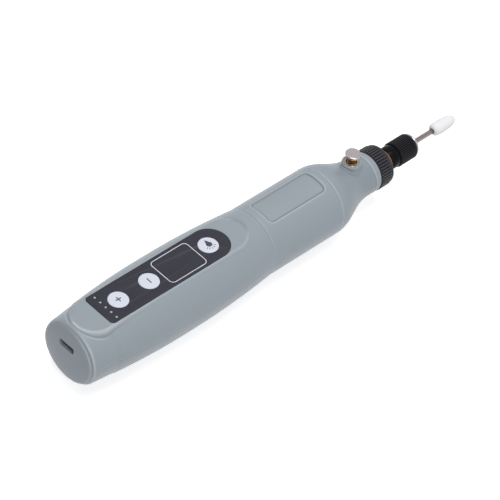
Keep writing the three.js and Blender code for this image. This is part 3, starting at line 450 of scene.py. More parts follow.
x, y, z = points_of(handle)
radius = np.hypot(y, z)
angle = np.degrees(np.arctan2(y, z))
side = np.sign(angle)
turn = np.abs(angle)
around = barrel_radius(np.clip(x, rim_at, seam_at))


def arc_between(start, bend, end, share):
    """Points on a curve from start to end that leans towards bend."""
    share = share[:, None]
    start_part = (1 - share) ** 2 * np.array(start)
    bend_part = 2 * (1 - share) * share * np.array(bend)
    return start_part + bend_part + share**2 * np.array(end)


# The rear rim is coved on the near side, full on the far side, soft below and plain in between.
band_front, band_low = 3.2, 12.3
press_front, press_from, press_run, press_share = 1.4, 8, 4.3, 0.25
in_band = (x < band_front) & (radius > band_low)
band_x, band_radius = np.array(band).T
row = np.argmin(np.hypot(x[:, None] - band_x, radius[:, None] - band_radius), axis=1)
along = row / (len(band) - 1)
hand_turn = -angle
coved = bump_share(hand_turn, 55, 55)
full = bump_share(hand_turn, -90, 50)
soft = bump_share(hand_turn, 125, 30) * (1 - coved)
plain = np.clip(1 - coved - full - soft, 0, 1)
total = coved + full + soft + plain
edge_ways = [
    (coved, np.stack([x, radius], axis=1)),
    (plain, arc_between((1.41, 12.36), (1.9, 13.75), (3.08, 14.06), along)),
    (full, arc_between((1.05, 12.36), (1.38, 13.9), (3.08, 14.06), along)),
    (soft, arc_between((1.41, 12.36), (2.0, 13.2), (3.25, 14.0), along)),
]
rounded = sum((share / total)[:, None] * way for share, way in edge_ways)
on_dome = (x < press_front) & (radius > press_from) & (radius < band_low)
pressed = x * (1 - press_share * full * (radius - press_from) / press_run)
x = np.where(in_band, rounded[:, 0], np.where(on_dome, pressed, x))
radius = np.where(in_band, rounded[:, 1], radius)

# The rows of points are led along the deck's edge and the two sides of the parting slit.
face_front, skin_depth = 2.55, 1.1
column_reference, deck_edge_turn, slit_column_half, turn_play = 15.3, 51.75, 0.4, 0.001
outer = (x < face_front) | (radius > around - skin_depth)
knots = np.array([deck_edge_turn, 84.375, 85.5, 180.0])
deck_sine = column_reference * np.sin(np.radians(np.minimum(turn, deck_edge_turn))) / around
new_turn = np.degrees(np.arcsin(np.clip(deck_sine, 0, 1)))
slit_turn = np.degrees(np.arccos(parting_height / around))
slit_half = np.degrees(slit_column_half / around)
targets = [
    np.degrees(np.arcsin(column_reference * math.sin(math.radians(deck_edge_turn)) / around)),
    slit_turn - slit_half,
    slit_turn + slit_half,
    np.full_like(around, 180.0),
]
for i in range(3):
    share = (turn - knots[i]) / (knots[i + 1] - knots[i])
    within = (turn > knots[i] + turn_play) & (turn <= knots[i + 1] + turn_play)
    new_turn = np.where(within, targets[i] + share * (targets[i + 1] - targets[i]), new_turn)
new_angle = np.radians(side * new_turn)
y = radius * np.sin(new_angle)
z = radius * np.cos(new_angle)

# The deck is levelled, with a gutter and a lip round its rear end, and its underside is made flat.
wall_top, wall_foot, deck_side_low = -1.5, -0.05, 6
gutter_at, gutter_depth, gutter_half = 0.0, 0.2, 0.5
lip_at, lip_height, lip_half = 0.62, 0.16, 0.45
gutter_end, gutter_fade = 12.0, 14.0
deck_under, deck_under_end = 12.25, 92.2
away = outline_distance(x, y, deck_rear, deck_front, deck_half, deck_half)
on_deck = 1 - eased_share((away - wall_top) / (wall_foot - wall_top))
gutter = 1 - eased_share(np.abs(away - gutter_at) / gutter_half)
lip = 1 - eased_share(np.abs(away - lip_at) / lip_half)
folds = (lip_height * lip - gutter_depth * gutter) * (1 - eased_share((x - gutter_end) / gutter_fade))
on_top = outer & (z > deck_side_low)
z = np.where(on_top, z + (deck_height - z) * on_deck + folds * (x > band_front), z)
z = np.where(~outer & (x < deck_under_end), np.minimum(z, deck_under), z)
set_points(handle, x, y, z)


def sliced(height, direction, drop_behind):
    """Cuts the piece under edit by a plane, closes the cut, and keeps one side."""
    bpy.ops.mesh.select_all(action="SELECT")
    bpy.ops.mesh.bisect(
        plane_co=(0, 0, (height + axis_height) * mm),
        plane_no=direction,
        use_fill=True,
        clear_inner=drop_behind,
        clear_outer=not drop_behind,
    )


def half_of(piece, name, upper):
    """Keeps the half above or below the parting plane, closes it, and eases its outer parting edge."""
    pick(piece)
    bpy.ops.object.duplicate()
    half = named(bpy.context.object, name)
    height = parting_height + (parting_slit if upper else -parting_slit)
    bpy.ops.object.mode_set(mode="EDIT")
    sliced(height, (0, 0, 1), drop_behind=upper)
    bpy.ops.object.mode_set(mode="OBJECT")
    for vertex in half.data.vertices:
        px, py, pz = on_axis(vertex)
        if abs(pz - height) > same_place or px < parting_from:
            continue
        if math.hypot(py, pz) > float(barrel_radius(max(px, rim_at))) - parting_skin:
            vertex.co.y -= math.copysign(parting_ease * mm, py)
    return half


handle_top = half_of(handle, "handle_top_cover", True)
handle_bottom = half_of(handle, "handle_bottom_cover", False)
bpy.data.objects.remove(handle)

film_rear, film_front, film_half, film_corner = 15.3, 81.9, 8.25, 1.8
film_low, film_high = 13.85, 14.35
fit, light_fit = 0.1, 0.04
key_places = {"plus": 25.65, "minus": 41.5, "light": 72.75}
key_radius = 4.23
light_row_at, light_pitch, light_radius = 19.2, 3.13, 0.5
light_places = [(light_row_at, light_pitch * i) for i in range(-2, 3)]
film_outline = round_corners(film_rear, film_front, -film_half, film_half, film_half, film_corner, 24)
pocket_half, drill_top = film_half + fit, 15
pocket_outline = round_corners(
    film_rear - fit, film_front + fit, -pocket_half, pocket_half, pocket_half, film_corner + fit, 24
)


def pierced(piece, low):
    """Drills the round openings for the keys and the light pipes, from a height upwards."""
    drills = [post(at, 0, low, drill_top, key_radius + fit, 64) for at in key_places.values()]
    drills += [post(px, py, low, drill_top, light_radius + light_fit, 24) for px, py in light_places]
    combined(piece, together("drills", drills), "DIFFERENCE")


combined(handle_top, plate("pocket", pocket_outline, film_low, high=16), "DIFFERENCE")
pierced(handle_top, low=10)

slot_half, slot_low, slot_high, slot_corner = 4.05, 3.6, 6.5, 0.9
slot_tool = block((-2, -slot_half, slot_low), (4, slot_half, slot_high))
pick(slot_tool)
bpy.ops.object.mode_set(mode="EDIT")
bpy.ops.mesh.select_mode(type="EDGE")
bpy.ops.mesh.select_all(action="DESELECT")
bpy.ops.object.mode_set(mode="OBJECT")
for edge in slot_tool.data.edges:
    ends = [slot_tool.data.vertices[i].co for i in edge.vertices]
    edge.select = abs(ends[0].x - ends[1].x) > mm
bpy.ops.object.mode_set(mode="EDIT")
bpy.ops.mesh.bevel(offset=slot_corner * mm, segments=8, affect="EDGES")
bpy.ops.object.mode_set(mode="OBJECT")
combined(handle_top, slot_tool, "DIFFERENCE")

screw_side = 9.5
screw_places = [(px, py) for px in (17.4, 89.9) for py in (-screw_side, screw_side)]
column_radius, column_root, column_gap = 2.3, 0.6, 0.02
head_radius, thread_radius, well_foot, well_end = 2.0, 1.1, -18, 2


def screw_seat(px):
    """Height of the lower shell's inner wall over a case screw, where the screw's head comes to rest."""
    return -math.sqrt((float(barrel_radius(px)) - shell_wall) ** 2 - screw_side**2)


columns, wells = [], []
for px, py in screw_places:
    top = parting_height - parting_slit - column_gap
    columns.append(post(px, py, screw_seat(px) - column_root, top, column_radius))
combined(handle_bottom, together("columns", columns), "UNION")
for px, py in screw_places:
    seat = screw_seat(px)
    well = [(0, well_foot), (head_radius, well_foot), (head_radius, seat)]
    well += [(thread_radius, seat), (thread_radius, well_end), (0, well_end)]
    wells.append(shifted(spun("well", well, turns=40, upright_at=px), py))
combined(handle_bottom, together("wells", wells), "DIFFERENCE")

# The body plastic paints highlights and shade from each piece's per-point values.
body_plastic = material(
    "body_plastic", body_color, body_tint, 0.38, 0.04, 0.22, 0.006, 14,
    wear_and_highlight_tone=body_highlight_tone, shade_and_stain_tone=body_shade_and_joint_tone, gloss=0.25,
)


def handle_highlights_and_shade(x, y, z):
    """Paints highlights on the rear rim's ridges, mostly on the near, lit side, on the deck's edge and lip
    and above the parting line, and paints shade in the grooves beside them; darker below the parting line and
    at the front seam, dark joints with painted shade."""
    reach = np.hypot(y, z)
    # Painted highlights are strongest on the near side, where the light falls.
    lit_side = 0.05 + 0.95 * bump_share(np.degrees(np.arctan2(-y, z)), 60, 50)
    ends = 0.6 * bump_share(reach, 12.55, 0.22) + 1.0 * bump_share(reach, 13.85, 0.22)
    ends *= (x < 3.4) * lit_side
    # Painted shade in the valley between the rim's two ridges.
    ends -= 0.25 * bump_share(reach, 13.2, 0.2) * (x < 3.0) * (x > 1.9) * lit_side
    away = outline_distance(x, y, deck_rear, deck_front, deck_half, deck_half)
    fade = 1 - eased_share((x - gutter_end) / gutter_fade)
    # Painted highlight along the deck's edge and, near the rear, on the lip.
    top = 1.0 * bump_share(away, -0.95, 0.45) * (0.4 + 0.6 * fade) * (0.4 + 0.6 * (y < 2))
    top += 0.7 * bump_share(away, lip_at, 0.25) * (1 - eased_share((x - 8) / 5))
    # Painted shade in the gutter round the deck.
    top -= (0.05 + 0.5 * fade) * bump_share(away, gutter_at + 0.1, 0.35)
    top *= (z > deck_side_low) & (reach > 12.5) & (x > 3.0)
    parting = np.where(z > parting_height, 1.0, -0.5) * (np.abs(z - parting_height) < 0.06) * (reach > 13.8)
    return ends + top + parting - 0.5 * (x > 96.85) * (reach > 14.6)


painted_light_and_stain(handle_top, handle_highlights_and_shade)
painted_light_and_stain(handle_bottom, handle_highlights_and_shade)
finished(handle_top, body_plastic, "handle", "body_plastic", "handle_top_shell")
finished(handle_bottom, body_plastic, "handle", "body_plastic", "handle_bottom_shell")


# Keypad film: one dark printed sheet glued in the deck's recess, with a white ruled box on it that
# is left empty, round holes for the keys and small ones for the battery lights.
film_color = (0.029, 0.029, 0.041)
film_tint = (0.042, 0.042, 0.058)
film = plate("keypad_film", film_outline, film_low, film_high)
pierced(film, low=13)
eased(film, width=0.06, angle=50)
panel_film = material("panel_film", film_color, film_tint, 0.5, 0.08, 0.3, 0.004, 0.9, gloss=0.15)
finished(film, panel_film, "handle", "panel_film", "keypad_overlay")

frame_rear, frame_front, frame_half, frame_corner = 47.5, 66.6, 6.85, 2.0
line_width, print_height, print_sunk = 0.32, 0.02, 0.01
ruled_box = plate(
    "ruled_box",
    round_corners(frame_rear, frame_front, -frame_half, frame_half, frame_corner),
    film_high - print_sunk,
    film_high + print_height,
)
inside_box = round_corners(
    frame_rear + line_width,
    frame_front - line_width,
    -frame_half + line_width,
    frame_half - line_width,
    frame_corner - line_width,
)
combined(ruled_box, plate("inside", inside_box, low=14, high=15), "DIFFERENCE")
print_white = material("print_white", (0.66, 0.67, 0.72), (0.6, 0.61, 0.66), 0.5, 0.05, 0.2, 0.002, 1.5)
finished(ruled_box, print_white, "handle", "key_white")


# Keys: three round silicone keys, each with a flange under the deck and a dark printed sign, and
# the five small light pipes of the battery gauge on their common bar.
key_color = (0.71, 0.74, 0.84)
key_tint = (0.66, 0.69, 0.79)
sign_color = (0.022, 0.022, 0.03)
key_crown = 0.1
key_outline = [
    (0, 9.35), (0.9, 9.35), (0.9, 11.05), (0.9, 11.6), (4.93, 11.6), (4.93, 12.15), (4.23, 12.15),
    (4.23, 13.0), (4.23, 14.1), (4.19, 14.22), (4.1, 14.3), (3.9, film_high), (3.4, film_high + 0.03),
    (2.4, film_high + 0.07), (1.2, film_high + 0.095), (0, film_high + key_crown),
]
key_silicone = material("key_silicone", key_color, key_tint, 0.5, 0.08, 0.35, 0.012, 0.5)
sign_print = material("sign_print", sign_color, (0.05, 0.05, 0.06), 0.5, 0.05, 0.2, 0.002, 1.0)
sign_top = film_high + 0.02
sign_foot = sign_top - 0.06
stroke, plus_length, minus_length = 0.5, 2.6, 2.8
bulb_ahead, bulb_radius, bulb_cap, bulb_foot, bulb_tip = 0.4, 1.3, 0.55, 1.95, 2.75
bulb_ease, tip_half, bulb_open, bulb_steps = 0.15, 0.12, 60, 30
ray_start, ray_length, ray_half = 1.8, 0.9, 0.13
ray_turns = (-149, -125, -96, -69, -43)


def laid_on_key(sign, at):
    """Drapes a flat sign over the key's crowned top."""
    for vertex in sign.data.vertices:
        px, py, _ = on_axis(vertex)
        vertex.co.z += key_crown * (1 - (math.hypot(px - at, py) / key_radius) ** 2) * mm


def bar_sign(at, length_x, length_y):
    x0, y0 = at - length_x / 2, -length_y / 2
    points = [(x0, y0), (x0 + length_x, y0), (x0 + length_x, y0 + length_y), (x0, y0 + length_y)]
    return plate("bar", points, sign_foot, sign_top)


def bulb_sign(at):
    """A lamp's bulb with its cap, and five rays round it."""
    middle = at + bulb_ahead
    bulb = []
    for i in range(bulb_steps + 1):
        swing = math.radians(bulb_open - (360 - bulb_open) * i / bulb_steps)
        bulb.append((middle + bulb_radius * math.cos(swing), bulb_radius * math.sin(swing)))
    bulb += [(middle - bulb_cap, bulb_foot), (middle - bulb_ease, bulb_foot + bulb_ease)]
    bulb += [(middle - tip_half, bulb_tip), (middle + tip_half, bulb_tip)]
    bulb += [(middle + bulb_ease, bulb_foot + bulb_ease), (middle + bulb_cap, bulb_foot)]
    strokes = [plate("bulb", bulb, sign_foot, sign_top)]
    for degrees in ray_turns:
        swing = math.radians(degrees)
        along = Vector((math.cos(swing), math.sin(swing)))
        across = Vector((-along.y, along.x)) * ray_half
        start = Vector((middle, 0)) + along * ray_start
        end = start + along * ray_length
        corners = [start - across, end - across, end + across, start + across]
        strokes.append(plate("ray", [tuple(c) for c in corners], sign_foot, sign_top))
    return together("light_sign", strokes)


for name, at in key_places.items():
    key = spun(f"{name}_key_top", key_outline, 72, at)
    finished(key, key_silicone, f"{name}_key", "key_white", f"key_{name}")
    if name == "plus":
        sign = bar_sign(at, stroke, plus_length)
        combined(sign, bar_sign(at, plus_length, stroke), "UNION")
    elif name == "minus":
        sign = bar_sign(at, stroke, minus_length)
    else:
        sign = bulb_sign(at)
    sign.name = f"{name}_sign"
    laid_on_key(sign, at)
    finished(sign, sign_print, f"{name}_key", "black_plastic")

pipe_outline = [(0, 7.0), (0.5, 7.0), (0.5, 14.2), (0.42, 14.3), (0.22, 14.36), (0, 14.38)]
pipes = [shifted(spun("pipe", pipe_outline, turns=24, upright_at=px), py) for px, py in light_places]
bar_rear, bar_front, bar_half = light_row_at - 0.6, light_row_at + 0.6, 6.86
bar_outline = round_corners(bar_rear, bar_front, -bar_half, bar_half, radius=0.3, steps=4)
pipe_bar = plate("pipe_bar", bar_outline, low=9.0, high=11.0)
combined(pipe_bar, together("pipes", pipes), "UNION")
pipe_bar.name = "battery_light_pipes"
light_pipe = material("light_pipe", (0.36, 0.37, 0.42), (0.46, 0.47, 0.52), 0.35, 0.05, 0.2, 0.002, 0.4)
finished(pipe_bar, light_pipe, "handle", "key_white", "battery_lights")


# Grip: a plain moulded tube of the same plastic between the two seams, with one shallow flat on
# top. Its rear spigot and flange sit in the handle's groove.
grip_turns = 360
recess_rear, recess_front, recess_half, recess_corner, recess_depth = 100.9, 131.8, 6.2, 2.0, 0.45
recess_wall, recess_skin, recess_turn = 0.3, 14.0, 1.2
grip_rows = spaced(97.5, 100.2, 0.7) + spaced(100.2, 103.4, 0.12) + spaced(103.4, 129.4, 1.3)
grip_rows += spaced(129.4, 132.4, 0.12) + spaced(132.4, 134.8, 0.7)
grip_outline = [(97.1, 12.8), (97.1, 14.8), (97.13, 14.9), (97.2, 14.97)]
grip_outline += [(px, grip_radius) for px in grip_rows]
grip_outline += [(134.98, 14.97), (135.07, 14.9), (135.1, 14.78), (135.1, 12.5), (99.0, 12.5), (99.0, 11.3)]
grip_outline += [(92.4, 11.3), (92.4, 13.6), (93.8, 13.6), (93.8, 12.8)]
grip = spun("grip_tube", grip_outline, grip_turns)
x, y, z = points_of(grip)
radius = np.hypot(y, z)
angle = np.degrees(np.arctan2(y, z))
crowded = np.interp(np.abs(angle), (0, 16, 34, 60, 180), (0, 21.8, 27.2, 60, 180))
angle = np.radians(np.sign(angle) * crowded)
y = radius * np.sin(angle)
away = outline_distance(x, y, recess_rear, recess_front, recess_half, recess_corner)
in_recess = 1 - eased_share((away + recess_wall) / (2 * recess_wall))
on_top = (radius > recess_skin) & (np.abs(angle) < recess_turn)
radius = np.where(on_top, radius - recess_depth * in_recess, radius)
set_points(grip, x, radius * np.sin(angle), radius * np.cos(angle))


def grip_highlights_and_shade(x, y, z):
    """Paints a highlight just outside the flat's edge and along the rear seam, and painted shade just inside
    the flat's edge.
    """
    reach = np.hypot(y, z)
    away = outline_distance(x, y, recess_rear, recess_front, recess_half, recess_corner)
    edge = 0.6 * bump_share(away, 0.4, 0.28) - 0.85 * bump_share(away, -0.25, 0.38)
    return edge * (z > 10) * (reach > recess_skin) + 0.9 * bump_share(x, 97.15, 0.22) * (reach > 14.6)


painted_light_and_stain(grip, grip_highlights_and_shade)
finished(grip, body_plastic, "handle", "body_plastic", "grip_housing")


# Nose: the same plastic, drawn in an S to a slim neck with a fine collar step, and a round boss for
# the lock button whose foot runs out into the cone. The bearings sit in it.
nose_start, nose_curve_run, neck_radius = 135.2, 22.96, 8.75
nose_handles = (0.36, 0.54)


def nose_radius(x):
    """Radius of the S-shaped cone at a station, from its curve."""
    t = np.linspace(0, 1, 400)
    rear_part, front_part = 3 * (1 - t) ** 2 * t, 3 * (1 - t) * t**2
    run = rear_part * nose_handles[0] + front_part * nose_handles[1] + t**3
    px = nose_start + nose_curve_run * run
    pr = grip_radius * ((1 - t) ** 3 + rear_part) + neck_radius * (front_part + t**3)
    return np.interp(x, px, pr)


nose_outline = [(135.2, 12.4), (135.2, 14.78), (135.23, 14.9), (135.32, 14.97)]
nose_outline += [(px, float(nose_radius(px))) for px in spaced(135.7, 159.3, 0.5)]
nose_outline += [(159.6, 8.68), (160.2, 8.6), (160.75, 8.56), (160.85, 8.6), (160.93, 8.7), (161.05, 8.77)]
nose_outline += [(161.25, 8.79), (161.5, 8.77), (161.9, 8.73), (162.6, 8.72), (163.1, 8.74), (163.4, 8.7)]
nose_outline += [(163.7, 8.55), (163.8, 8.35), (163.8, 7.6)]
nose_outline += [(169.5, 7.6), (169.5, 6.6), (163.4, 6.6), (163.4, 7.2), (162.5, 7.2), (162.5, 6.6)]
nose_outline += [(157.4, 6.6), (157.4, 6.0), (149.6, 6.0), (149.6, 6.6), (142.5, 6.6), (139.9, 10.2)]
nose_outline += [(130.0, 10.2), (130.0, 12.4)]
nose = spun("nose_cone", nose_outline, 224)

lock_at = 152.7
boss_radius, boss_top, boss_turns = 4.07, 12.2, 72
row_step, skirt_radius, skirt_play = 0.1, 4.9, 0.01
foot_run, foot_rise, foot_rows = 0.9, 0.75, 6
foot_from, foot_high, foot_low, foot_depth, foot_proud = 4.0, 10.75, 9.0, 1.2, 0.02
boss_outline = [(0, boss_top), (3.5, boss_top), (3.75, 12.16), (3.93, 12.04), (4.04, 11.88)]
boss_outline += [(boss_radius, 11.7), (boss_radius, 11.0)]
boss_outline += [(boss_radius + row_step * i, 10.5 - row_step * i) for i in range(foot_rows + 1)]
boss_outline += [(skirt_radius, 8.0), (3.0, 7.2), (0, 7.2)]
boss = spun("boss", boss_outline, boss_turns, lock_at)
for vertex in boss.data.vertices:
    px, py, pz = on_axis(vertex)
    px -= lock_at
    reach = math.hypot(px, py)
    on_skirt = abs(reach - skirt_radius) < skirt_play
    if reach < foot_from or pz > foot_high or pz < foot_low and not on_skirt:
        continue
    along, aside = px / reach, py / reach
    below = float(nose_radius(lock_at + boss_radius * along))
    corner = math.sqrt(below**2 - (boss_radius * aside) ** 2)
    far = boss_radius + foot_run
    far_below = float(nose_radius(lock_at + far * along))
    far_height = math.sqrt(far_below**2 - (far * aside) ** 2) + foot_proud
    if on_skirt and pz < foot_low:
        new_reach, new_height = far, far_height - foot_depth
    else:
        t = round((reach - boss_radius) / row_step) / foot_rows
        new_reach = boss_radius * (1 - t) ** 2 + 2 * boss_radius * (1 - t) * t + far * t**2
        new_height = (corner + foot_rise) * (1 - t) ** 2 + 2 * corner * (1 - t) * t + far_height * t**2
    vertex.co = placed(lock_at + along * new_reach, aside * new_reach, new_height)
combined(nose, boss, "UNION")
seat_hole = [(0, 6.2), (1.3, 6.2), (1.3, 8.2), (3.05, 8.2), (3.05, 13), (0, 13)]
combined(nose, spun("seat_hole", seat_hole, 64, lock_at), "DIFFERENCE")
combined(nose, post(lock_at, 0, low=3, high=8.5, radius=1.3, sides=40), "DIFFERENCE")


def nose_highlights_and_shade(x, y, z):
    """Paints highlights on the collar's edges, the front edge, the rear seam and the boss's rim, and paints
    shade under the collar, over the cone and round the boss's foot.
    """
    reach = np.hypot(y, z)
    lines = 1.0 * bump_share(x, 161.1, 0.16) * (reach > 8.5) + 0.8 * (x > 163.5) * (reach > 8.2)
    lines += 1.0 * bump_share(x, 135.3, 0.25) * (reach > 14.7)
    lines -= 0.5 * bump_share(x, 160.6, 0.3) * (reach > 8.4)
    out = np.hypot(x - lock_at, y)
    # Painted shade over the cone behind the collar.
    lines -= 0.32 * np.clip((x - 136.0) / 6, 0, 1) * (x < 160.4) * (out > 4.4)
    rim = 0.15 * bump_share(out, 3.9, 0.2) * (z > 11.5)
    return lines + rim - 0.4 * bump_share(out, 4.9, 0.4) * (z > 8)


painted_light_and_stain(nose, nose_highlights_and_shade)
finished(nose, body_plastic, "handle", "body_plastic", "nose_housing")


# Spindle lock: a chromed mushroom button on a sprung stem, in a brass bush pressed into the boss.
# The plated spring shows gold-brown under the cap and is drawn at one length, though in use it shortens as
# the button goes down.
chrome_finish = material(
    "chrome_plate", (0.48, 0.44, 0.45), (0.37, 0.335, 0.345), 0.12, 0.04, 0.5, 0.002, 2, 1.0
)
button_outline = [
    (0, 2.6), (0.8, 2.6), (1.0, 2.8), (1.0, 4.85), (0.8, 4.85), (0.8, 5.5), (1.0, 5.5), (1.0, 5.9),
    (1.2, 5.9), (1.2, 13.1), (1.9, 13.1), (1.9, 13.4), (2.2, 13.95), (2.62, 14.8), (2.95, 15.5),
    (3.12, 15.85), (3.2, 16.05), (3.2, 16.55), (3.15, 16.68), (3.05, 16.77), (2.9, 16.82),
    (2.0, 16.87), (1.0, 16.895), (0, 16.9),
]
button = spun("lock_mushroom", button_outline, 64, lock_at)
finished(button, chrome_finish, "lock", "chrome", "lock_button")

brass_finish = material(
    "turned_brass", (0.52, 0.40, 0.20), (0.36, 0.26, 0.11), 0.3, 0.08, 0.25, 0.006, 1.2, 1.0
)
bush_outline = [(2.35, 8.3), (2.95, 8.3), (2.95, 12.2), (2.87, 12.3), (2.45, 12.3), (2.35, 12.2)]
bush = spun("lock_sleeve_bush", bush_outline, 64, lock_at)
finished(bush, brass_finish, "handle", "brass", "lock_bush")

spring_radius, spring_wire, spring_curls, coil_points = 1.75, 0.2, 4.5, 145
spring_low, spring_high = 8.5, 12.8
coil = bpy.data.curves.new("lock_coil", "CURVE")
coil.dimensions = "3D"
coil.bevel_depth = spring_wire * mm
coil.bevel_resolution = 3
coil.use_fill_caps = True
line = coil.splines.new("POLY")
line.points.add(coil_points - 1)
for i, point in enumerate(line.points):
    t = i / (coil_points - 1)
    swing = 2 * math.pi * spring_curls * t
    px, py = lock_at + spring_radius * math.cos(swing), spring_radius * math.sin(swing)
    point.co = (*placed(px, py, spring_low + (spring_high - spring_low) * t), 1)
spring = bpy.data.objects.new("lock_coil", coil)
bpy.context.scene.collection.objects.link(spring)
pick(spring)
bpy.ops.object.convert(target="MESH")
spring = bpy.context.object
spring_finish = material(
    "spring_wire", (0.46, 0.28, 0.18), (0.28, 0.14, 0.08), 0.25, 0.06, 0.2, 0.004, 0.8, 1.0
)
finished(spring, spring_finish, "handle", "steel", "lock_spring")
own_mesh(spring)


# Nose ring: black moulded ring with straight ribs all round, screwed on the neck. Its mouth holds
# the clear window and, behind it, the ring-shaped board with the four work lights.
black_color = (0.020, 0.020, 0.026)
black_tint = (0.028, 0.028, 0.035)
rib_count, rib_depth, rib_land, rib_turns = 44, 0.55, 0.5, 440
rib_skin, rib_front, rib_fade_at, rib_fade = 8.7, 170.0, 169.3, 0.6
ring_rows = [(163.9, 7.7), (163.9, 8.75), (163.98, 8.9), (164.15, 9.0)]
ring_rows += [(px, 9.0) for px in (164.6, 165.5, 167.0, 168.5, 169.2, 169.4, 169.6, 169.7, 169.8, 169.95)]
ring_rows += [(170.3, 8.65), (170.7, 8.62), (170.95, 8.5), (171.12, 8.3), (171.2, 8.05)]
ring_rows += [(171.2, 6.95), (170.65, 6.95), (170.65, 7.7)]
ring = spun("ribbed_ring", ring_rows, rib_turns)


def grooved(piece, count, land, skin, front, depth_at):
    """Cuts a number of straight grooves all round a piece, outside the skin's radius and behind its
    front. The lower the land, the wider the tops. depth_at gives the depth from x and the slope."""
    for vertex in piece.data.vertices:
        px, py, pz = on_axis(vertex)
        reach = math.hypot(py, pz)
        if reach < skin or px > front:
            continue
        wave = 0.5 + 0.5 * math.cos(count * math.atan2(py, pz))
        valley = 1 - float(eased_share(wave / land))
        share = (reach - depth_at(px, valley)) / reach
        vertex.co.y *= share
        vertex.co.z = (pz * share + axis_height) * mm


def rib_depth_at(px, valley):
    return rib_depth * max(valley, float(eased_share((px - rib_fade_at) / rib_fade)))


def ring_highlights_and_shade(x, y, z):
    """Paints the ribs' tops lighter as highlights and the grooves between them darker as shade."""
    reach = np.hypot(y, z)
    return np.where(reach > 8.95, 0.6, -0.5) * (reach > 8.3) * (x > 164.2) * (x < 169.9)


grooved(ring, rib_count, rib_land, rib_skin, rib_front, rib_depth_at)
# The black plastic's lighter and darker tones paint the ring's rib highlights and groove shade.
black_plastic = material(
    "black_plastic", black_color, black_tint, 0.42, 0.08, 0.25, 0.008, 3,
    wear_and_highlight_tone=(0.06, 0.06, 0.068), shade_and_stain_tone=(0.006, 0.006, 0.008), gloss=0.25,
)
painted_light_and_stain(ring, ring_highlights_and_shade)
finished(ring, black_plastic, "ring", "black_plastic", "nose_ring", angle=30)

window_outline = [
    (170.8, 4.3), (170.8, 6.75), (170.3, 6.75), (170.3, 7.5), (170.55, 7.5), (170.55, 6.85), (171.14, 6.85),
    (171.2, 6.79), (171.2, 4.36), (171.14, 4.3),
]
window = spun("light_ring_window", window_outline, 96)
clear_plastic = material("clear_plastic", (0.88, 0.91, 0.93), (0.83, 0.87, 0.90), 0.12, 0.04, 0.6, 0.003, 2)
clear_shader = clear_plastic.node_tree.nodes["Principled BSDF"]
clear_shader.inputs["Transmission Weight"].default_value = 0.85
clear_shader.inputs["IOR"].default_value = 1.49
finished(window, clear_plastic, "ring", "clear_plastic", "light_window")

board_green = material("board_green", (0.025, 0.13, 0.055), (0.05, 0.22, 0.09), 0.38, 0.08, 0.5, 0.01, 1.1)
light_base = spun("light_ring_board", [(169.6, 4.2), (170.2, 4.2), (170.2, 7.5), (169.6, 7.5)], 96)
lamp_low, lamp_high = (170.1, -0.5, 5.3), (170.6, 0.5, 6.3)
lamp_blocks = [block(lamp_low, lamp_high, math.radians(90 * i)) for i in range(4)]
for lamp in lamp_blocks:
    eased(lamp, width=0.12)
lamp_ring = together("work_lights", lamp_blocks)
lamp_yellow = material("lamp_phosphor", (0.78, 0.66, 0.22), (0.85, 0.74, 0.32), 0.3, 0.05, 0.3, 0.004, 0.6)
finished(light_base, board_green, "handle", "board", "light_board")
finished(lamp_ring, lamp_yellow, "handle", "key_white")


# Chuck: a blackened steel body on the spindle behind a thin brass collar, and a knurled sleeve that
# closes three bright jaws on the bit's shank.
collar_outline = [(172.9, 2.1), (172.9, 5.0), (173.02, 5.12), (173.78, 5.12), (173.9, 5.0), (173.9, 2.1)]
collar = spun("brass_collar", collar_outline, 72)
collar_brass = material(
    "collar_brass", (0.36, 0.155, 0.035), (0.26, 0.11, 0.025), 0.28, 0.06, 0.2, 0.005, 1.2, 1.0
)
finished(collar, collar_brass, "rotating", "brass", "spindle_collar")

slot_rear, slot_front = (182.8, -0.9, 0.0), (191.5, 0.9, 7.0)
jaw_slots = [block(slot_rear, slot_front, math.radians(120 * i)) for i in range(3)]
chuck_outline = [
    (174.0, 2.1), (174.0, 4.75), (174.08, 4.93), (174.25, 5.03), (178.55, 5.03), (178.72, 4.98),
    (178.8, 4.85), (178.8, 4.5), (182.1, 4.5), (186.9, 3.17), (187.0, 3.1), (187.0, 1.275),
    (178.2, 1.275), (178.2, 2.1),
]
chuck = spun("chuck_core", chuck_outline, 96)
for tool in jaw_slots:
    combined(chuck, tool, "DIFFERENCE")
black_steel = material(
    "black_steel", (0.003, 0.003, 0.004), (0.006, 0.006, 0.008), 0.2, 0.05, 0.6, 0.003, 2.5, gloss=0.05
)
finished(chuck, black_steel, "rotating", "black_steel", "chuck_body")

knurl_count, knurl_depth, knurl_land, knurl_turns = 40, 0.3, 0.85, 400
knurl_skin, knurl_front = 5.45, 188.2
knurl_rear_at, knurl_rear_fade, knurl_front_at, knurl_front_fade = 179.1, 0.3, 187.5, 0.5
sleeve_outline = [(178.9, 4.7), (178.9, 5.2), (179.0, 5.32), (179.15, 5.4)]
sleeve_outline += [(px, 5.5) for px in (179.3, 179.45, 179.7, 181, 183, 185, 186.5, 187.4, 187.7, 188.0)]
sleeve_outline += [(188.3, 5.42), (188.58, 5.25), (188.74, 5.0), (188.84, 4.5), (188.88, 2.85), (188.6, 2.85)]
sleeve_outline += [(182.1, 4.7)]
sleeve = spun("knurled_sleeve", sleeve_outline, knurl_turns)


def knurl_depth_at(px, valley):
    rear = float(eased_share((px - knurl_rear_at) / knurl_rear_fade))
    front = 1 - float(eased_share((px - knurl_front_at) / knurl_front_fade))
    return knurl_depth * valley * (rear * front)


def sleeve_marks(x, y, z):
    """Makes the knurl's tops lighter and the grooves between them darker."""
    reach = np.hypot(y, z)
    return np.where(reach > 5.43, 1.0, -1.0) * (reach > 5.1) * (x < knurl_front)


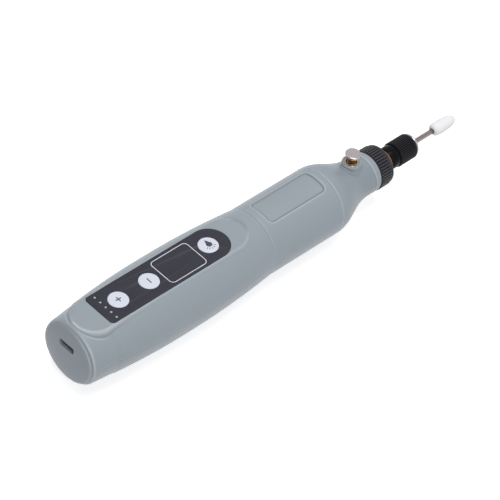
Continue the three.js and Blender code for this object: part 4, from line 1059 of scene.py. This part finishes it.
grooved(sleeve, knurl_count, knurl_land, knurl_skin, knurl_front, knurl_depth_at)
painted_light_and_stain(sleeve, sleeve_marks)
knurled_steel = material(
    "knurled_steel", (0.008, 0.008, 0.010), (0.012, 0.012, 0.015), 0.34, 0.06, 0.6, 0.003, 2.5,
    wear_and_highlight_tone=(0.026, 0.026, 0.030), shade_and_stain_tone=(0.001, 0.001, 0.002), gloss=0.09,
)
finished(sleeve, knurled_steel, "sleeve", "black_steel", "chuck_sleeve", angle=30)

front_outline = [
    (188.9, 2.85), (188.9, 4.7), (189.0, 4.88), (189.2, 4.95), (189.5, 4.92), (189.8, 4.78),
    (190.0, 4.55), (190.1, 4.2), (190.1, 3.1), (190.0, 2.85),
]
front_face = spun("bright_front_face", front_outline, 96)
bare_steel = material("bare_steel", (0.50, 0.50, 0.55), (0.42, 0.42, 0.46), 0.22, 0.06, 0.3, 0.004, 1.5, 1.0)
finished(front_face, bare_steel, "sleeve", "steel")

jaw_steel = material("jaw_steel", (0.62, 0.63, 0.66), (0.54, 0.55, 0.58), 0.25, 0.07, 0.3, 0.006, 1.0, 1.0)
jaw_half_turn, tail_front, tail_half = 57.0, 188.4, 0.8
jaw_outline = [
    (184.3, 1.25), (184.3, 3.79), (188.3, 2.69), (188.5, 2.64), (189.6, 2.33), (190.45, 2.1),
    (190.62, 2.02), (190.7, 1.88), (190.7, 1.3), (190.65, 1.25), (188.5, 1.25), (188.3, 1.25),
]
for i in range(3):
    swing = math.radians(-120 * i)
    jaw = spun(f"bright_jaw_{i + 1}", jaw_outline, 96)
    pick(jaw)
    bpy.ops.object.mode_set(mode="EDIT")
    for hand in (1, -1):
        face_angle = swing + math.radians(hand * jaw_half_turn)
        across = Vector((0, math.cos(face_angle), -math.sin(face_angle)))
        sliced(0, tuple(across * hand), drop_behind=False)
    bpy.ops.object.mode_set(mode="OBJECT")
    for vertex in jaw.data.vertices:
        px, py, pz = on_axis(vertex)
        aside, out = swung(py, pz, -swing)
        if px < tail_front:
            reach = math.hypot(py, pz)
            aside = max(-tail_half, min(tail_half, aside))
            out = math.sqrt(max(reach**2 - aside**2, 0.0))
        py, pz = swung(aside, out, swing)
        vertex.co.y, vertex.co.z = py * mm, (pz + axis_height) * mm
    finished(jaw, jaw_steel, f"jaw_{i + 1}", "steel", f"chuck_jaw_{i + 1}", angle=30)


# Bit: a polished steel shank and a white mounted stone, fine-grained and slightly creamy where the
# cement holds it.
shank_steel = material("shank_steel", (0.25, 0.22, 0.215), (0.17, 0.15, 0.15), 0.14, 0.05, 0.3, 0.003, 3, 1.0)
shank_outline = [(181.1, 0), (181.1, 1.0), (181.3, 1.175), (209.0, 1.175), (209.1, 1.1), (209.1, 0)]
shank = spun("steel_shank", shank_outline, 48)
finished(shank, shank_steel, "bit", "steel", "bit_shank")

stone_outline = [
    (209.3, 0), (209.3, 1.18), (202.9, 1.18), (202.78, 1.25), (202.82, 1.6), (203.0, 2.0), (203.32, 2.38),
    (203.75, 2.64), (204.3, 2.8), (205.2, 2.89), (206.2, 2.9), (207.5, 2.86), (209.5, 2.79), (211.2, 2.66),
    (212.4, 2.5), (213.4, 2.29), (214.2, 2.02), (214.9, 1.68), (215.4, 1.3), (215.75, 0.85), (215.94, 0.4),
    (216.0, 0),
]
stone = spun("white_stone", stone_outline, 72)
stone_white = material(
    "stone_white", (0.87, 0.87, 0.89), (0.92, 0.92, 0.93), 0.75, 0.08, 0.18, 0.02, 0.5,
    wear_and_highlight_tone=(0.94, 0.94, 0.95), shade_and_stain_tone=(0.93, 0.85, 0.76),
)
painted_light_and_stain(stone, lambda x, y, z: -bump_share(x, 202.8, 0.3) * (np.hypot(y, z) < 1.8))
finished(stone, stone_white, "bit", "stone", "grinding_stone")


# Case screws: four steel screws with cross recesses, driven from below through the lower shell's
# columns into the upper shell. Their heads rest at the bottom of the wells.
screw_steel = material(
    "screw_steel", (0.34, 0.34, 0.36), (0.26, 0.26, 0.28), 0.35, 0.08, 0.2, 0.008, 0.8, 1.0
)
head_gap, blade_half, blade_thin, blade_low, blade_high = 0.1, 1.15, 0.24, 1.6, 0.65
for i, (px, py) in enumerate(screw_places):
    seat = screw_seat(px) - head_gap
    screw_outline = [
        (0, 5.0), (0.7, 5.0), (1.0, 4.4), (1.0, seat), (1.9, seat), (1.9, seat - 0.8), (1.75, seat - 1.05),
        (1.4, seat - 1.22), (0.8, seat - 1.3), (0, seat - 1.3),
    ]
    screw = spun(f"cross_screw_{i + 1}", screw_outline, 36, px)
    for long, wide in ((blade_thin, blade_half), (blade_half, blade_thin)):
        points = [(px - long, -wide), (px + long, -wide), (px + long, wide), (px - long, wide)]
        combined(screw, plate("blade", points, seat - blade_low, seat - blade_high), "DIFFERENCE")
    shifted(screw, py)
    finished(screw, screw_steel, "handle", "steel", f"case_screw_{i + 1}", angle=30)


# Boards: a green printed circuit board under the deck with the keys' black switches, and a small one
# behind the slot in the rear face with the charging socket's steel can. A black pin header joins them.
def painted(paint, *names):
    """Gives the CAD's own pieces a finish; the shells hide them, so their shapes stay."""
    for name in names:
        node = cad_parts[name]
        node.data.materials.clear()
        node.data.materials.append(paint)


port_steel = material("port_steel", (0.30, 0.33, 0.33), (0.24, 0.27, 0.27), 0.35, 0.08, 0.3, 0.006, 1.5, 0.7)
painted(board_green, "control_board", "charge_board")
painted(black_plastic, "board_header", "switch_plus", "switch_minus", "switch_light")
painted(port_steel, "charge_port")


# Battery: one rechargeable cell in a blue wrap, with a nickel strip welded on each end, held down
# by a pad of black foam.
tab_nickel = material("tab_nickel", (0.55, 0.54, 0.50), (0.47, 0.46, 0.43), 0.28, 0.06, 0.4, 0.006, 2, 1.0)
cell_wrap = material("cell_wrap", (0.03, 0.12, 0.40), (0.04, 0.15, 0.46), 0.3, 0.06, 0.8, 0.01, 6)
foam_finish = material("foam_cells", (0.06, 0.06, 0.065), (0.10, 0.10, 0.105), 0.9, 0.06, 0.3, 0.08, 0.6)
painted(cell_wrap, "battery_cell")
painted(tab_nickel, "battery_tab_rear", "battery_tab_front")
painted(foam_finish, "battery_pad")


# Motor: a steel can with two magnets, a laminated rotor and its copper commutator on a steel shaft,
# closed by a black plastic cap. It is clamped between the grip's lip and the nose.
steel_finish = material(
    "turned_steel", (0.42, 0.43, 0.45), (0.34, 0.35, 0.37), 0.3, 0.08, 0.3, 0.005, 1.5, 1.0
)
iron_finish = material(
    "iron_laminations", (0.05, 0.05, 0.055), (0.08, 0.08, 0.085), 0.55, 0.1, 0.35, 0.02, 1.0, 0.4
)
copper_finish = material(
    "commutator_copper", (0.55, 0.24, 0.10), (0.45, 0.19, 0.08), 0.3, 0.08, 0.3, 0.006, 1, 1.0
)
painted(steel_finish, "motor_can", "motor_shaft")
painted(iron_finish, "motor_magnet_1", "motor_magnet_2", "motor_rotor")
painted(copper_finish, "motor_commutator")
painted(black_plastic, "motor_end_cap")


# Spindle: a turned steel shaft in two ball bearings, driven through a pressed-on brass sleeve. A
# spring ring holds the front bearing, and a clip keeps the lock button in.
painted(brass_finish, "drive_coupling")
painted(steel_finish, "spindle", "bearing_circlip", "lock_clip")
for end in ("rear", "front"):
    painted(steel_finish, f"{end}_bearing_outer", f"{end}_bearing_inner")
    painted(chrome_finish, f"{end}_bearing_balls")


# Wires: a red and a black lead each from the battery and to the motor, in soft plastic, laid along
# the inside of the shells.
red_wire = material("red_wire", (0.42, 0.02, 0.015), (0.5, 0.03, 0.02), 0.4, 0.05, 0.4, 0.006, 2)
black_wire = material("black_wire", (0.012, 0.012, 0.013), (0.02, 0.02, 0.022), 0.4, 0.05, 0.4, 0.006, 2)
painted(red_wire, "motor_lead_red", "battery_lead_red")
painted(black_wire, "motor_lead_black", "battery_lead_black")
